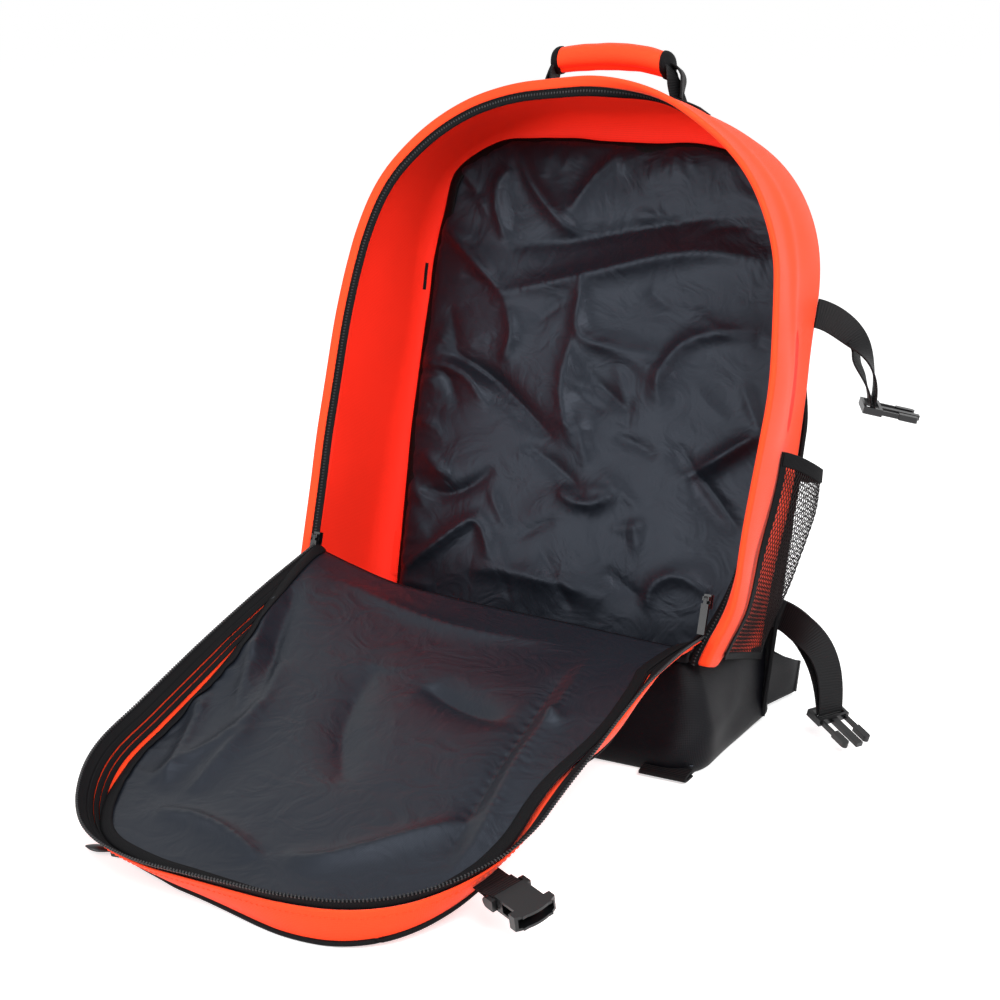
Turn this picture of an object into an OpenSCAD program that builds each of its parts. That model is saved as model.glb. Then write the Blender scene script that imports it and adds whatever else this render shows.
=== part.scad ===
// Soft emergency backpack with its zipped front flap folded open.
// It stands on its base, leans back and rests the tip of the flap on the ground.
// Lengths are in millimetres and angles in degrees.
// The origin is the middle of the base, on the ground, and the flap lies towards -Y.

/* [Bag] */
// Outer width of the bag
bag_w = 390; // [370:1:420]
// Outer height of the bag, measured along its leaning back
bag_h = 550; // [530:1:590]
// Radius of the two top corners
corner_r = 154; // [130:1:164]
// Depth from the zip to the inside of the back panel
shell_d = 128; // [115:1:145]
// Thickness of a sewn fabric wall
wall_t = 2; // [1.5:0.1:2.5]
// Thickness of the padded back panel
back_t = 12; // [8:1:18]
// Angle at which the bag leans back
lean = 18.5; // [16:0.5:20]

/* [Base] */
// Thickness of the base panel
base_t = 3; // [2:0.5:4]
// Thickness of the stiffening board inside the base
board_t = 3; // [2:0.5:4]
// Radius of the two front corners of the base
base_corner_r = 14; // [8:1:24]
// Height of the seam between the black base and the orange gusset
seam_h = 98; // [90:1:106]
// Length of the flat tab sewn along the front edge of the base
base_tab_l = 40; // [30:1:50]
// How far that tab reaches forward
base_tab_w = 7; // [5:1:10]

/* [Flap] */
// Height of the fold at the foot of the flap
fold_h = 128; // [120:1:136]
// Depth of the flap at its tip
flap_d = 36; // [30:1:42]
// Length of flap over which that depth is reached
flap_taper = 220; // [180:1:240]
// Radius of the bound fold
fold_r = 2; // [1.5:0.1:2.5]

/* [Zip] */
// Width of the orange hem outside the zip
hem_w = 5; // [4:0.5:6]
// Thickness of the hem
hem_t = 2; // [1.5:0.1:2.4]
// Width of tape that shows on the shell
tape_w = 4; // [3:0.5:5]
// Width of tape on the flap, with the part sewn over its wall
flap_tape_w = 5.4; // [5:0.1:7]
// Thickness of a zip tape
tape_t = 0.8; // [0.6:0.1:1]
// Width of one row of teeth
teeth_w = 2.4; // [2:0.1:3]
// Thickness of one row of teeth
teeth_t = 2.4; // [2:0.1:3]
// Gap between the closed rows, which the slider's post runs in
zip_gap = 1.8; // [1.6:0.1:2.2]
// Length of a slider along the zip
slider_l = 11; // [9:0.5:13]
// Thickness of each slider plate
slider_t = 1.3; // [1:0.1:1.6]
// Height of the main sliders above the fold
slider_up = 12; // [10:1:20]
// Length of a zip pull
pull_l = 32; // [24:1:36]
// Width of a zip pull
pull_w = 6; // [5:0.5:6]

/* [Lining and trim] */
// Thickness of a lining
lining_t = 1.5; // [1:0.1:2]
// Width of the binding round a lining
binding_w = 10; // [8:0.5:14]
// Thickness of that binding
binding_t = 1.5; // [1:0.1:2]
// Depth below the zip at which the flap's slack lining hangs
lining_rest = 20; // [17:1:24]
// How far that lining sags in its middle
lining_sag = 3; // [1:0.5:5]
// How far the piping stands out
piping_w = 2.5; // [2:0.1:3]
// Width of the piping across the seam
piping_h = 4; // [3:0.5:5]

/* [Front pocket] */
// Width of the pocket on the outside of the flap
front_pocket_w = 236; // [200:1:260]
// Distance of the pocket's zip from the top of the bag
pocket_zip_drop = 54; // [50:1:67]
// Length of the pocket's zip
pocket_zip_l = 204; // [180:1:210]
// Thickness of the pocket's cloth
pocket_t = 2; // [1.5:0.1:2.2]

/* [Handle] */
// Distance between the two legs of the carrying handle
handle_span = 132; // [120:1:150]
// Height of the grip above the handle's fold
handle_rise = 32; // [28:1:40]
// Radius of the padded grip
grip_r = 11; // [9:0.5:13]
// Thickness of a handle leg
leg_t = 3; // [2:0.5:4]
// Width of a handle leg at the grip
leg_w = 20; // [16:1:22]

/* [Webbing and buckles] */
// Width of the webbing
web_w = 25; // [20:1:25]
// Thickness of the webbing
web_t = 2; // [1.5:0.1:2.4]
// How far the upper side straps sit below the top corners
upper_drop = 7; // [5:1:21]
// Height of the lower side straps
lower_h = 146; // [138:1:152]
// Radius of the bar that webbing loops round
bar_r = 1.6; // [1.3:0.1:2]
// Side frame of a buckle beyond the webbing
buckle_rim = 3; // [2.5:0.1:4]
// Thickness of a male buckle
male_t = 6; // [5:0.5:7]
// Reach of the prongs beyond the frame
prong_l = 31; // [28:1:34]
// Length of a female buckle beyond its bar
female_l = 35; // [33:1:38]
// Thickness of a female buckle
female_t = 11; // [10:0.5:13]
// Length of the webbing that holds a female buckle
tether_l = 15; // [12:1:18]

/* [Side pockets] */
// Height of the top of the mesh pockets
pocket_top = 266; // [250:1:275]
// How far a mesh pocket bulges
pocket_bulge = 28; // [20:1:32]
// Distance of the pocket's front edge from the zip
pocket_front = 50; // [40:1:60]
// Distance of the pocket's back edge from the back panel
pocket_back_gap = 14; // [12:1:20]
// Thickness of the mesh
mesh_t = 1.5; // [1:0.1:2]
// Height of the elastic band at the pocket's mouth
elastic_h = 12; // [8:1:16]

/* [Shoulder straps] */
// Width of a padded shoulder strap
pad_w = 62; // [50:1:70]
// Thickness of a padded shoulder strap
pad_t = 14; // [10:1:18]
// Distance of each strap's middle from the middle of the bag
pad_x = 76; // [65:1:90]
// Height of the top of the straps
pad_top = 500; // [480:1:505]
// Height of the foot of the straps
pad_foot = 200; // [190:1:220]
// How far the straps bow away from the back
pad_bow = 34; // [26:1:40]
// How far the foot of a strap stands off the back
pad_off = 24; // [18:1:30]
// How far the wing of webbing at the foot reaches behind the back
wing_l = 62; // [50:1:66]

/* [Hidden] */
$fn = 64;

// Running clearance between pieces that move on each other
clear = 0.35;
// Longer than anything in the bag, for cuts
reach = 3 * bag_h;
orange = "#f4511e";
black = "#1d1d20";
charcoal = "#2e2f36";
steel_black = "#26272b";

// Places along the depth of the bag
back_y = shell_d + back_t;
shell_y = -back_y / (2 * cos(lean));
// Fold of the flap, on the ground frame
fold_y = shell_y + fold_h * sin(lean);
fold_z = fold_h * cos(lean);

// Insets from the outer edge of the bag to each line of the zip
teeth_in = hem_w + tape_w;
gap_in = teeth_in + teeth_w;
flap_teeth_in = gap_in + zip_gap;
flap_tape_in = flap_teeth_in + teeth_w;
flap_in = flap_tape_in + flap_tape_w - wall_t;
slot_in = gap_in + zip_gap / 2;

// The flap drops until its piping meets the ground
tip_s = bag_h - flap_in + piping_w - fold_h;
pocket_zip_s = bag_h - fold_h - pocket_zip_drop;
tip_out = flap_d + piping_h / 2;
flap_drop = asin((fold_z - clear) / norm([tip_s, tip_out])) - atan2(tip_out, tip_s);
flap_start = fold_r + clear;
flap_rise = (flap_d - 1) / (flap_taper - flap_start);
// The slack lining leaves the panel where the panel is deeper, and reaches the flap's far end
lining_s = flap_start + (lining_rest + wall_t - 1) / flap_rise;
lining_tip = bag_h - fold_h;
// The flap's zip starts where the tape clears the panel
flap_zip_start = flap_start + (wall_t + tape_t / 2 + clear - 1) / flap_rise;

// Corner arcs of the bag
corner_x = bag_w / 2 - corner_r;
corner_z = bag_h - corner_r;
upper_h = corner_z - upper_drop;
anchor_t = 2;
leg_root_r = 2.5;
anchor_r = corner_r + anchor_t;
handle_y = shell_d / 2;
handle_z = corner_z + sqrt(pow(anchor_r, 2) - pow(handle_span / 2 - leg_t / 2 - corner_x, 2))
  + clear + leg_root_r;

// Buckle frame round its bar
frame_back = 9;
frame_front = 7;
frame_bar = 2.5;
buckle_w = web_w + 2 * buckle_rim;
slot_w = web_w + 1;
guide_w = 6;
prong_y = buckle_w / 2 - 3.5;
prong_root = frame_front + clear;
prong_head = 16;

// Root, bar, turn and webbing direction of each side strap, on the bag
root_off = 1.2;
root_back = 5;
upper_bar = [46.5, 27, -71];
upper_turn = [20, 4, 28];
upper_pull = [18, 22, 0];
lower_bar = [57.5, -3, -84];
lower_turn = [19, 27, -22];
lower_pull = [42, 16, 0];
upper_lead = 0;
lower_lead = -27;
lead_l = 40;
strap_rings = 9;

// Female buckles on the flap
upper_female_turn = 24;
upper_female_out = flap_d - 12;
lower_female_s = flap_taper / 2;
lower_female_in = flap_in + 62;
// The left upper one lies folded under the flap
tuck_in = flap_in + 26;
tuck_s = flap_taper + 65;
tuck_tilt = 20;

// Arched outline of the bag, drawn in from its outer edge, with its legs cut at foot
module arch(inset, foot) {
  half = bag_w / 2 - inset;
  r = corner_r - inset;
  translate([-half, foot]) square([2 * half, corner_z - foot]);
  translate([-corner_x, foot]) square([2 * corner_x, corner_z + r - foot]);
  for (side = [-1, 1]) intersection() {
    translate([side * corner_x, corner_z]) circle(r);
    translate([-bag_w, foot]) square(2 * [bag_w, bag_h]);
  }
}

// Band that follows the arch between two insets
module arch_band(outer, inner, foot) {
  difference() {
    arch(outer, foot);
    arch(inner, foot - 1);
  }
}

// Outline of the base seen from above, with round front corners
module plan(inset) {
  half = bag_w / 2 - inset;
  r = base_corner_r - inset;
  translate([-half, inset + r]) square([2 * half, back_y - inset - r]);
  translate([r - half, inset]) square([2 * (half - r), back_y - inset]);
  for (side = [-1, 1]) translate([side * (half - r), inset + r]) circle(r);
}

// Part of a ring between two radii and two angles less than 120 degrees apart
module arc_band(r0, r1, a0, a1) {
  mid = (a0 + a1) / 2;
  intersection() {
    difference() {
      circle(r1, $fn = 128);
      circle(r0, $fn = 128);
    }
    polygon([[0, 0], 3 * r1 * [cos(a0), sin(a0)], 3 * r1 * [cos(mid), sin(mid)],
      3 * r1 * [cos(a1), sin(a1)]]);
  }
}

// Stands the bag's own frame on the ground and leans it back
module leaning() {
  translate([0, shell_y, 0]) rotate([-lean, 0, 0]) children();
}

// Frame of the flap: Y runs from the fold to the tip and Z from the zip outwards
module on_flap() {
  translate([0, fold_y, fold_z]) rotate([180 + flap_drop, 0, 0]) children();
}

// Keeps what lies above a height over the ground
module above(z) {
  intersection() {
    children();
    translate([-reach / 2, -reach / 2, z]) cube(reach);
  }
}

// Extrudes an outline of width and height through the depth of the bag
module through(y0, y1) {
  translate([0, y1, 0]) rotate([90, 0, 0]) linear_extrude(y1 - y0) children();
}

// Extrudes a side profile across a width
module across(width) {
  translate([-width / 2, 0, 0]) rotate([90, 0, 90]) linear_extrude(width) children();
}

// Draws for one side of the bag what is written for its right side
module on_side(side) {
  mirror([side < 0 ? 1 : 0, 0, 0]) children();
}

// Flap outline between an inset and a distance from the fold
module flap_outline(inset, start) {
  translate([0, -fold_h]) arch(inset, fold_h + start);
}

module flap_band(outer, inner, start) {
  translate([0, -fold_h]) arch_band(outer, inner, fold_h + start);
}

// Depth of the flap's outer face at a distance from the fold
function flap_face(s) = min(flap_d, 1 + flap_rise * (s - flap_start));

// Layer of the flap, between two depths below its outer face
module flap_layer(start, top, bottom) {
  across(bag_w) polygon([[start, flap_face(start) - top], [flap_taper, flap_d - top],
    [bag_h, flap_d - top], [bag_h, flap_d - bottom], [flap_taper, flap_d - bottom],
    [start, flap_face(start) - bottom]]);
}

// Line of the flap's slack lining: it lies on the panel by the fold, then hangs clear of it
function lining_line(start, off) = [[start, flap_face(start) - wall_t - off],
  [lining_s, lining_rest - off], [(lining_s + lining_tip) / 2, lining_rest + lining_sag - off],
  [lining_tip, lining_rest - lining_sag - off]];

// Layer on that line, between two heights above it
module lining_layer(start, low, high) {
  above = lining_line(start, high);
  across(bag_w) polygon(concat(lining_line(start, low),
    [for (i = [len(above) - 1:-1:0]) above[i]]));
}

// Point on a cubic curve through four control points
function curve(p, t) = pow(1 - t, 3) * p[0] + 3 * t * pow(1 - t, 2) * p[1]
  + 3 * t * t * (1 - t) * p[2] + pow(t, 3) * p[3];

function unit(v) = v / norm(v);

// Tangent of that curve
function heading(p, t) = unit(pow(1 - t, 2) * (p[1] - p[0]) + 2 * t * (1 - t) * (p[2] - p[1])
  + t * t * (p[3] - p[2]));

// Width direction that turns from u0 to u1 and stays square to the heading
function broad(p, u0, u1, t) = let (u = (1 - t) * u0 + t * u1, h = heading(p, t))
  unit(u - (u * h) * h);

// Flat strap along a curve, its width turning from u0 to u1
module strap(p, u0, u1, width, thick) {
  rings = [for (i = [0 : strap_rings - 1]) let (t = i / (strap_rings - 1), c = curve(p, t),
    u = broad(p, u0, u1, t) * width / 2, n = cross(heading(p, t), unit(u)) * thick / 2)
    each [c - u - n, c + u - n, c + u + n, c - u + n]];
  sides = [for (i = [0 : strap_rings - 2], k = [0 : 3]) let (a = 4 * i + k,
    b = 4 * i + (k + 1) % 4) each [[a, a + 4, b], [b, a + 4, b + 4]]];
  last = 4 * (strap_rings - 1);
  polyhedron(rings, concat([[0, 1, 2, 3]], sides, [[last + 3, last + 2, last + 1, last]]));
}

// Turns a direction the way rotate() does
function turned(v, a) = let (
  x = [v.x, v.y * cos(a.x) - v.z * sin(a.x), v.y * sin(a.x) + v.z * cos(a.x)],
  y = [x.x * cos(a.y) + x.z * sin(a.y), x.y, x.z * cos(a.y) - x.x * sin(a.y)])
  [y.x * cos(a.z) - y.y * sin(a.z), y.x * sin(a.z) + y.y * cos(a.z), y.z];

module base_panel() {
  color(black) intersection() {
    leaning() translate([0, 0, -reach / 2]) linear_extrude(reach) plan(0);
    translate([-reach / 2, -reach / 2, 0]) cube([reach, reach, base_t]);
  }
}

module base_board() {
  color(charcoal) intersection() {
    leaning() translate([0, 0, -reach / 2]) linear_extrude(reach) difference() {
      plan(wall_t + clear);
      translate([-bag_w, shell_d - lining_t - clear]) square([2 * bag_w, back_y]);
    }
    translate([-reach / 2, -reach / 2, base_t]) cube([reach, reach, board_t]);
  }
}

// Flat tab that lies on the ground at the right front of the base
module base_tab() {
  tab_t = base_t / 2;
  color(black) translate([bag_w / 2 - base_corner_r - base_tab_l, shell_y - base_tab_w, 0])
    cube([base_tab_l, base_tab_w, tab_t]);
}

module base_wrap() {
  color(black) above(base_t) leaning() difference() {
    translate([0, 0, -bag_w / 2]) linear_extrude(bag_w / 2 + seam_h) difference() {
      plan(0);
      plan(wall_t);
    }
    translate([-bag_w, shell_d, -bag_w]) cube(2 * bag_w);
  }
}

// Black front below the fold, with the bound edge that the flap turns on
module lower_front() {
  width = bag_w - 2 * wall_t;
  color(black) leaning() {
    translate([-width / 2, 0, seam_h]) cube([width, wall_t, fold_h - seam_h]);
    translate([flap_in - bag_w / 2, 0, fold_h]) rotate([0, 90, 0])
      cylinder(r = fold_r, h = bag_w - 2 * flap_in);
  }
}

module gusset() {
  color(orange) leaning() {
    through(hem_t / 2, shell_d) arch_band(0, wall_t, seam_h);
    through(-hem_t / 2, hem_t / 2) arch_band(0, hem_w, fold_h);
  }
}

module back_panel() {
  color(black) above(base_t) leaning() through(shell_d, back_y) arch(0, -bag_w / 2);
}

module back_lining() {
  color(charcoal) above(base_t) leaning()
    through(shell_d - lining_t, shell_d) arch(wall_t, -bag_w / 2);
}

module lining_binding() {
  face = shell_d - lining_t;
  color(black) leaning()
    through(face - binding_t, face) arch_band(wall_t, wall_t + binding_w, fold_h);
}

module back_piping() {
  color(black) leaning() through(back_y - piping_h, back_y) arch_band(-piping_w, 0, seam_h);
}

module zip_tape_shell() {
  color(black) leaning() through(-tape_t / 2, tape_t / 2)
    arch_band(hem_w, teeth_in, fold_h + fold_r);
}

module zip_teeth_shell() {
  color(steel_black) leaning() through(-teeth_t / 2, teeth_t / 2)
    arch_band(teeth_in, gap_in, fold_h + fold_r);
}

// Webbing patches sewn over the top, under the handle
module handle_anchors() {
  near = acos((handle_span / 2 - 2 * leg_t - corner_x) / corner_r);
  far = near - web_w / corner_r * 180 / PI;
  color(black) leaning() for (side = [-1, 1]) on_side(side)
    through(handle_y - web_w / 2, handle_y + web_w / 2) translate([corner_x, corner_z])
      arc_band(corner_r, anchor_r, far, near);
}

// Outline of a mesh pocket from above, on the side wall
module pocket_plan(t) {
  back = shell_d - pocket_back_gap;
  polygon([[-2 * t, pocket_front + 3 * t], [0, pocket_front + 3 * t], [pocket_bulge - t, back - 12],
    [pocket_bulge - t, back - t], [-2 * t, back - t]]);
}

module pocket_wall(z0, z1, t) {
  translate([bag_w / 2, 0, z0]) linear_extrude(z1 - z0) difference() {
    pocket_plan(0);
    pocket_plan(t);
  }
}

module side_pocket(side) {
  foot = seam_h + 2;
  color(charcoal) leaning() on_side(side) {
    pocket_wall(foot, pocket_top - elastic_h, mesh_t);
    translate([bag_w / 2, 0, foot]) linear_extrude(mesh_t) pocket_plan(0);
  }
}

module pocket_bands() {
  color(black) leaning() for (side = [-1, 1]) on_side(side)
    pocket_wall(pocket_top - elastic_h, pocket_top, mesh_t);
}

// Arc of a shoulder strap, from its top on the back panel to its foot
pad_from = [back_y, pad_top];
pad_to = [back_y + pad_off, pad_foot];
pad_chord = norm(pad_to - pad_from);
pad_r = pow(pad_chord, 2) / (8 * pad_bow) + pad_bow / 2;
pad_side = [pad_from.y - pad_to.y, pad_to.x - pad_from.x] / pad_chord;
pad_mid = (pad_from + pad_to) / 2 + pad_side * (pad_bow - pad_r);
pad_a0 = atan2(pad_to.y - pad_mid.y, pad_to.x - pad_mid.x);
pad_a1 = atan2(pad_from.y - pad_mid.y, pad_from.x - pad_mid.x);

module shoulder_strap(side) {
  color(black) leaning() on_side(side) translate([pad_x, 0, 0]) across(pad_w)
    translate(pad_mid) arc_band(pad_r, pad_r + pad_t, pad_a0, pad_a1);
}

// Adjuster at the foot of each shoulder strap
lock_l = 22;
lock_t = 5;
lock_w = buckle_w + 3;

// Middle of the strap's foot, and the way down from it
pad_end = pad_mid + (pad_r + pad_t / 2) * [cos(pad_a0), sin(pad_a0)];
pad_down = [sin(pad_a0), -cos(pad_a0)];

module ladder_locks() {
  slot_l = 5;
  color(steel_black) leaning() for (side = [-1, 1]) on_side(side)
    translate([pad_x, pad_end.x, pad_end.y]) rotate([pad_a0, 0, 0]) difference() {
      translate([-lock_w / 2, -lock_t / 2, -lock_l]) cube([lock_w, lock_t, lock_l]);
      for (z = [-lock_l + 3, -lock_l + 3 + 2 * slot_l])
        translate([-slot_w / 2, -lock_t, z]) cube([slot_w, 2 * lock_t, slot_l]);
    }
}

wing_t = 4;
wing_h = 46;
wing_z = seam_h - 14;
wing_x = bag_w / 2 - base_corner_r;

// Three-cornered wings of folded cloth that hold the foot of the straps
module strap_wings() {
  color(black) leaning() for (side = [-1, 1]) on_side(side)
    translate([wing_x, 0, 0]) across(wing_t) polygon([[back_y, wing_z + wing_h / 2],
      [back_y + wing_l, wing_z + wing_t], [back_y + wing_l, wing_z - wing_t],
      [back_y, wing_z - wing_h / 2]]);
}

module shoulder_webbing() {
  top = [pad_x, pad_end.x, pad_end.y] + (lock_l + clear) * [0, pad_down.x, pad_down.y];
  tip = [wing_x, back_y + wing_l + clear + web_t / 2, wing_z];
  route = [top, top + 40 * [0, pad_down.x, pad_down.y], tip + [-40, 20, 0], tip];
  color(black) leaning() for (side = [-1, 1]) on_side(side)
    strap(route, [1, 0, 0], [0, 0, 1], web_w, web_t);
}

module handle_grip() {
  length = handle_span - leg_t;
  color(orange) leaning() translate([-length / 2, handle_y, handle_z + handle_rise])
    rotate([0, 90, 0]) cylinder(r = grip_r, h = length);
}

// Legs that narrow to the fold that the handle swings on
module handle_legs() {
  color(black) leaning() for (side = [-1, 1]) translate([side * handle_span / 2, handle_y, handle_z])
    across(leg_t) {
      circle(leg_root_r);
      polygon([[-leg_root_r, 0], [-leg_w / 2, handle_rise], [leg_w / 2, handle_rise], [leg_root_r, 0]]);
      translate([0, handle_rise]) circle(leg_w / 2);
    }
}

module front_panel() {
  color(orange) on_flap() intersection() {
    flap_layer(flap_start, 0, wall_t);
    translate([0, 0, -flap_d]) linear_extrude(3 * flap_d) flap_outline(flap_in, 0);
  }
}

// Orange wall round the flap, from its panel up to its zip
module flap_strip() {
  start = 4 * wall_t + fold_r + 2 / flap_rise;
  color(orange) on_flap() intersection() {
    across(bag_w) polygon([[start, tape_t / 2], [bag_h, tape_t / 2], [bag_h, flap_d - wall_t],
      [flap_taper, flap_d - wall_t], [start, flap_face(start) - wall_t]]);
    translate([0, 0, -flap_d]) linear_extrude(3 * flap_d)
      flap_band(flap_in, flap_in + wall_t, 0);
  }
}

module flap_piping() {
  color(black) on_flap() translate([0, 0, flap_d - piping_h / 2]) linear_extrude(piping_h)
    flap_band(flap_in - piping_w, flap_in, flap_taper);
}

module flap_lining() {
  color(charcoal) on_flap() intersection() {
    lining_layer(4 * flap_start, 0, lining_t);
    translate([0, 0, -flap_d]) linear_extrude(3 * flap_d) flap_outline(flap_in + wall_t, 0);
  }
}

module flap_binding() {
  color(black) on_flap() intersection() {
    lining_layer(flap_taper / 4, lining_t, lining_t + binding_t);
    translate([0, 0, -flap_d]) linear_extrude(3 * flap_d)
      flap_band(flap_in + wall_t, flap_in + wall_t + binding_w, 0);
  }
}

module zip_tape_flap() {
  color(black) on_flap() translate([0, 0, -tape_t / 2]) linear_extrude(tape_t)
    flap_band(flap_tape_in, flap_in + wall_t, flap_zip_start);
}

module zip_teeth_flap() {
  color(steel_black) on_flap() translate([0, 0, -teeth_t / 2]) linear_extrude(teeth_t)
    flap_band(flap_teeth_in, flap_tape_in, slider_up + slider_l);
}

zip_half = 6;
pocket_foot = flap_taper + 10;

// Outer cloth of the front pocket, below its zip
module front_pocket() {
  color(orange) on_flap() translate([-front_pocket_w / 2, pocket_foot, flap_d])
    cube([front_pocket_w, pocket_zip_s - zip_half - pocket_foot, pocket_t]);
}

module pocket_zip() {
  color(black) on_flap() translate([-pocket_zip_l / 2, pocket_zip_s - zip_half, flap_d]) {
    cube([pocket_zip_l, 2 * zip_half, tape_t]);
    translate([0, zip_half - teeth_w, tape_t])
      cube([pocket_zip_l, 2 * teeth_w, tape_t]);
  }
}

// Bail on a slider: two ears and the pin that a pull hangs from
pin_r = 0.9;
ear_t = 1;
ear_in = 1.6;
pin_h = 2;
bail_h = pin_h + 1.6;

module bail() {
  for (side = [-1, 1]) translate([side * (ear_in + ear_t / 2) - ear_t / 2, -1.6, 0])
    cube([ear_t, 3.2, bail_h]);
  translate([-ear_in, 0, pin_h]) rotate([0, 90, 0]) cylinder(r = pin_r, h = 2 * ear_in);
}

// Pull that hangs along -Y from a pin on X
module pull() {
  eye_r = 1.6;
  eye_w = 2 * (ear_in - clear);
  difference() {
    union() {
      rotate([0, 90, 0]) cylinder(r = eye_r, h = eye_w, center = true);
      translate([-eye_w / 2, -4, -eye_r]) cube([eye_w, 4, 2 * eye_r]);
      translate([-pull_w / 2, 4 - pull_l, -eye_r]) cube([pull_w, pull_l - 8, 2 * eye_r]);
    }
    rotate([0, 90, 0]) cylinder(r = pin_r + 0.25, h = pull_w, center = true);
  }
}

plate_gap = teeth_t / 2 + clear;
plate_w = 2 * (flap_tape_in - slot_in - clear);
bail_y = 2;

// Frame of a main slider: Y up the zip and Z out of the bag's front
module on_slider(side) {
  leaning() on_side(side) translate([bag_w / 2 - slot_in, 0, fold_h + slider_up])
    rotate([90, 0, 0]) children();
}

module slider(side) {
  post = zip_gap - 2 * clear;
  color(steel_black) on_slider(side) {
    for (z = [plate_gap, -plate_gap - slider_t]) translate([-plate_w / 2, -slider_l / 2, z])
      cube([plate_w, slider_l, slider_t]);
    translate([-post / 2, 0, -plate_gap]) cube([post, slider_l / 2, 2 * plate_gap]);
    translate([0, bail_y, plate_gap + slider_t]) bail();
  }
}

module zip_pull(side) {
  color(black) on_slider(side)
    translate([0, bail_y, plate_gap + slider_t + pin_h]) pull();
}

pocket_slider_x = pocket_zip_l / 2 - slider_l / 2 - 2;
pocket_slider_z = flap_d + 2 * tape_t + clear;
pocket_pull_droop = 5.5;

// Frame of the pocket's slider: Y along its zip towards the right
module on_pocket_slider() {
  on_flap() translate([-pocket_slider_x, pocket_zip_s, pocket_slider_z])
    rotate([0, 0, -90]) children();
}

module pocket_slider() {
  color(steel_black) on_pocket_slider() {
    translate([-plate_w / 2, -slider_l / 2, 0]) cube([plate_w, slider_l, slider_t]);
    translate([0, bail_y, slider_t]) bail();
  }
}

module pocket_pull() {
  color(black) on_pocket_slider() translate([0, bail_y, slider_t + pin_h])
    rotate([-pocket_pull_droop, 0, 0]) pull();
}

// Flap frame at a female buckle's seat, with X pointing out along its webbing
module on_upper_female(side) {
  on_flap() if (side > 0) {
    translate([corner_x, corner_z - fold_h, upper_female_out])
      rotate([0, 0, upper_female_turn]) translate([corner_r - flap_in, 0, 0]) children();
  } else {
    translate([tuck_in - bag_w / 2, tuck_s, flap_d + web_t / 2 * cos(tuck_tilt)])
      rotate([0, 0, -90]) rotate([0, -tuck_tilt, 0]) children();
  }
}

module on_lower_female(side) {
  on_flap() on_side(side)
    translate([bag_w / 2 - lower_female_in, lower_female_s, flap_face(lower_female_s)])
      rotate([atan(flap_rise), 0, 0]) rotate([0, -90, 0]) children();
}

// Short webbing from the flap to each female buckle
module buckle_tethers() {
  size = [tether_l, web_w, web_t];
  color(black) for (side = [-1, 1]) {
    on_upper_female(side) translate([0, -web_w / 2, -web_t / 2]) cube(size);
    on_lower_female(side) translate([0, -web_w / 2, -web_t / 2]) cube(size);
  }
}

// Female half of a side-release buckle, with its bar on Y and its mouth on +X
module female_buckle() {
  waist = 24;
  mouth_w = buckle_w + 2;
  mouth_l = 10;
  skin = 2;
  body = frame_bar + bar_r;
  socket_x = body + 8;
  socket_h = female_t - 2 * skin;
  ear_y = slot_w / 2 + buckle_rim;
  color(black) difference() {
    union() {
      translate([0, 0, -female_t / 2]) linear_extrude(female_t) {
        translate([body, -waist / 2]) square([female_l - body - 1, waist]);
        intersection() {
          translate([female_l - mouth_l, -mouth_w / 2]) square([mouth_l, mouth_w]);
          circle(female_l, $fn = 96);
        }
      }
      translate([body, -ear_y, -body]) cube([frame_bar, 2 * ear_y, 2 * body]);
      for (side = [-1, 1]) translate([0, side * (ear_y - buckle_rim / 2), 0])
        rotate([90, 0, 0]) {
          cylinder(r = body, h = buckle_rim, center = true);
          translate([0, -body, -buckle_rim / 2]) cube([body, 2 * body, buckle_rim]);
        }
      rotate([90, 0, 0]) cylinder(r = bar_r, h = slot_w, center = true);
    }
    translate([socket_x, skin - waist / 2, skin - female_t / 2])
      cube([female_l, waist - 2 * skin, socket_h]);
    translate([female_l - mouth_l + skin, skin - mouth_w / 2, skin - female_t / 2])
      cube([mouth_l, mouth_w - 2 * skin, socket_h]);
    translate([socket_x, -waist, skin - female_t / 2])
      cube([female_l - mouth_l - socket_x, 2 * waist, socket_h]);
  }
}

female_at = tether_l + clear + bar_r;

module upper_female(side) {
  on_upper_female(side) translate([female_at, 0, 0]) female_buckle();
}

module lower_female(side) {
  on_lower_female(side) translate([female_at, 0, 0]) female_buckle();
}

// Root of a side strap on the seam beside the back panel
function strap_root(h) = [bag_w / 2 + root_off, shell_d - root_back, h];

// Webbing from the back seam to the bar of a male buckle
module side_strap(side, h, bar, turn, lead, way) {
  root = strap_root(h);
  along = turned(turned([0, 0, 1], [0, lead, 0]), turn);
  end = root + bar + (bar_r + clear) * along;
  color(black) leaning() on_side(side)
    strap([root, root + way, end + lead_l * along, end], [0, 0, 1], turned([0, 1, 0], turn),
      web_w, web_t);
}

module upper_strap(side) {
  side_strap(side, upper_h, upper_bar, upper_turn, upper_lead, upper_pull);
}

module lower_strap(side) {
  side_strap(side, lower_h, lower_bar, lower_turn, lower_lead, lower_pull);
}

module on_upper_male(side) {
  leaning() on_side(side) translate(strap_root(upper_h) + upper_bar) rotate(upper_turn) children();
}

module on_lower_male(side) {
  leaning() on_side(side) translate(strap_root(lower_h) + lower_bar) rotate(lower_turn) children();
}

// Male half of a side-release buckle, with its bar on Y and its guide on +X
module male_buckle() {
  frame_l = frame_back + frame_front;
  color(black) {
    difference() {
      translate([-frame_back, -buckle_w / 2, -male_t / 2]) cube([frame_l, buckle_w, male_t]);
      translate([frame_bar - frame_back, -slot_w / 2, -male_t])
        cube([frame_l - 2 * frame_bar, slot_w, 2 * male_t]);
    }
    rotate([90, 0, 0]) cylinder(r = bar_r, h = slot_w, center = true);
    translate([frame_front, -guide_w / 2, -male_t / 3])
      cube([prong_l + 2, guide_w, 2 * male_t / 3]);
  }
}

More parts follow.
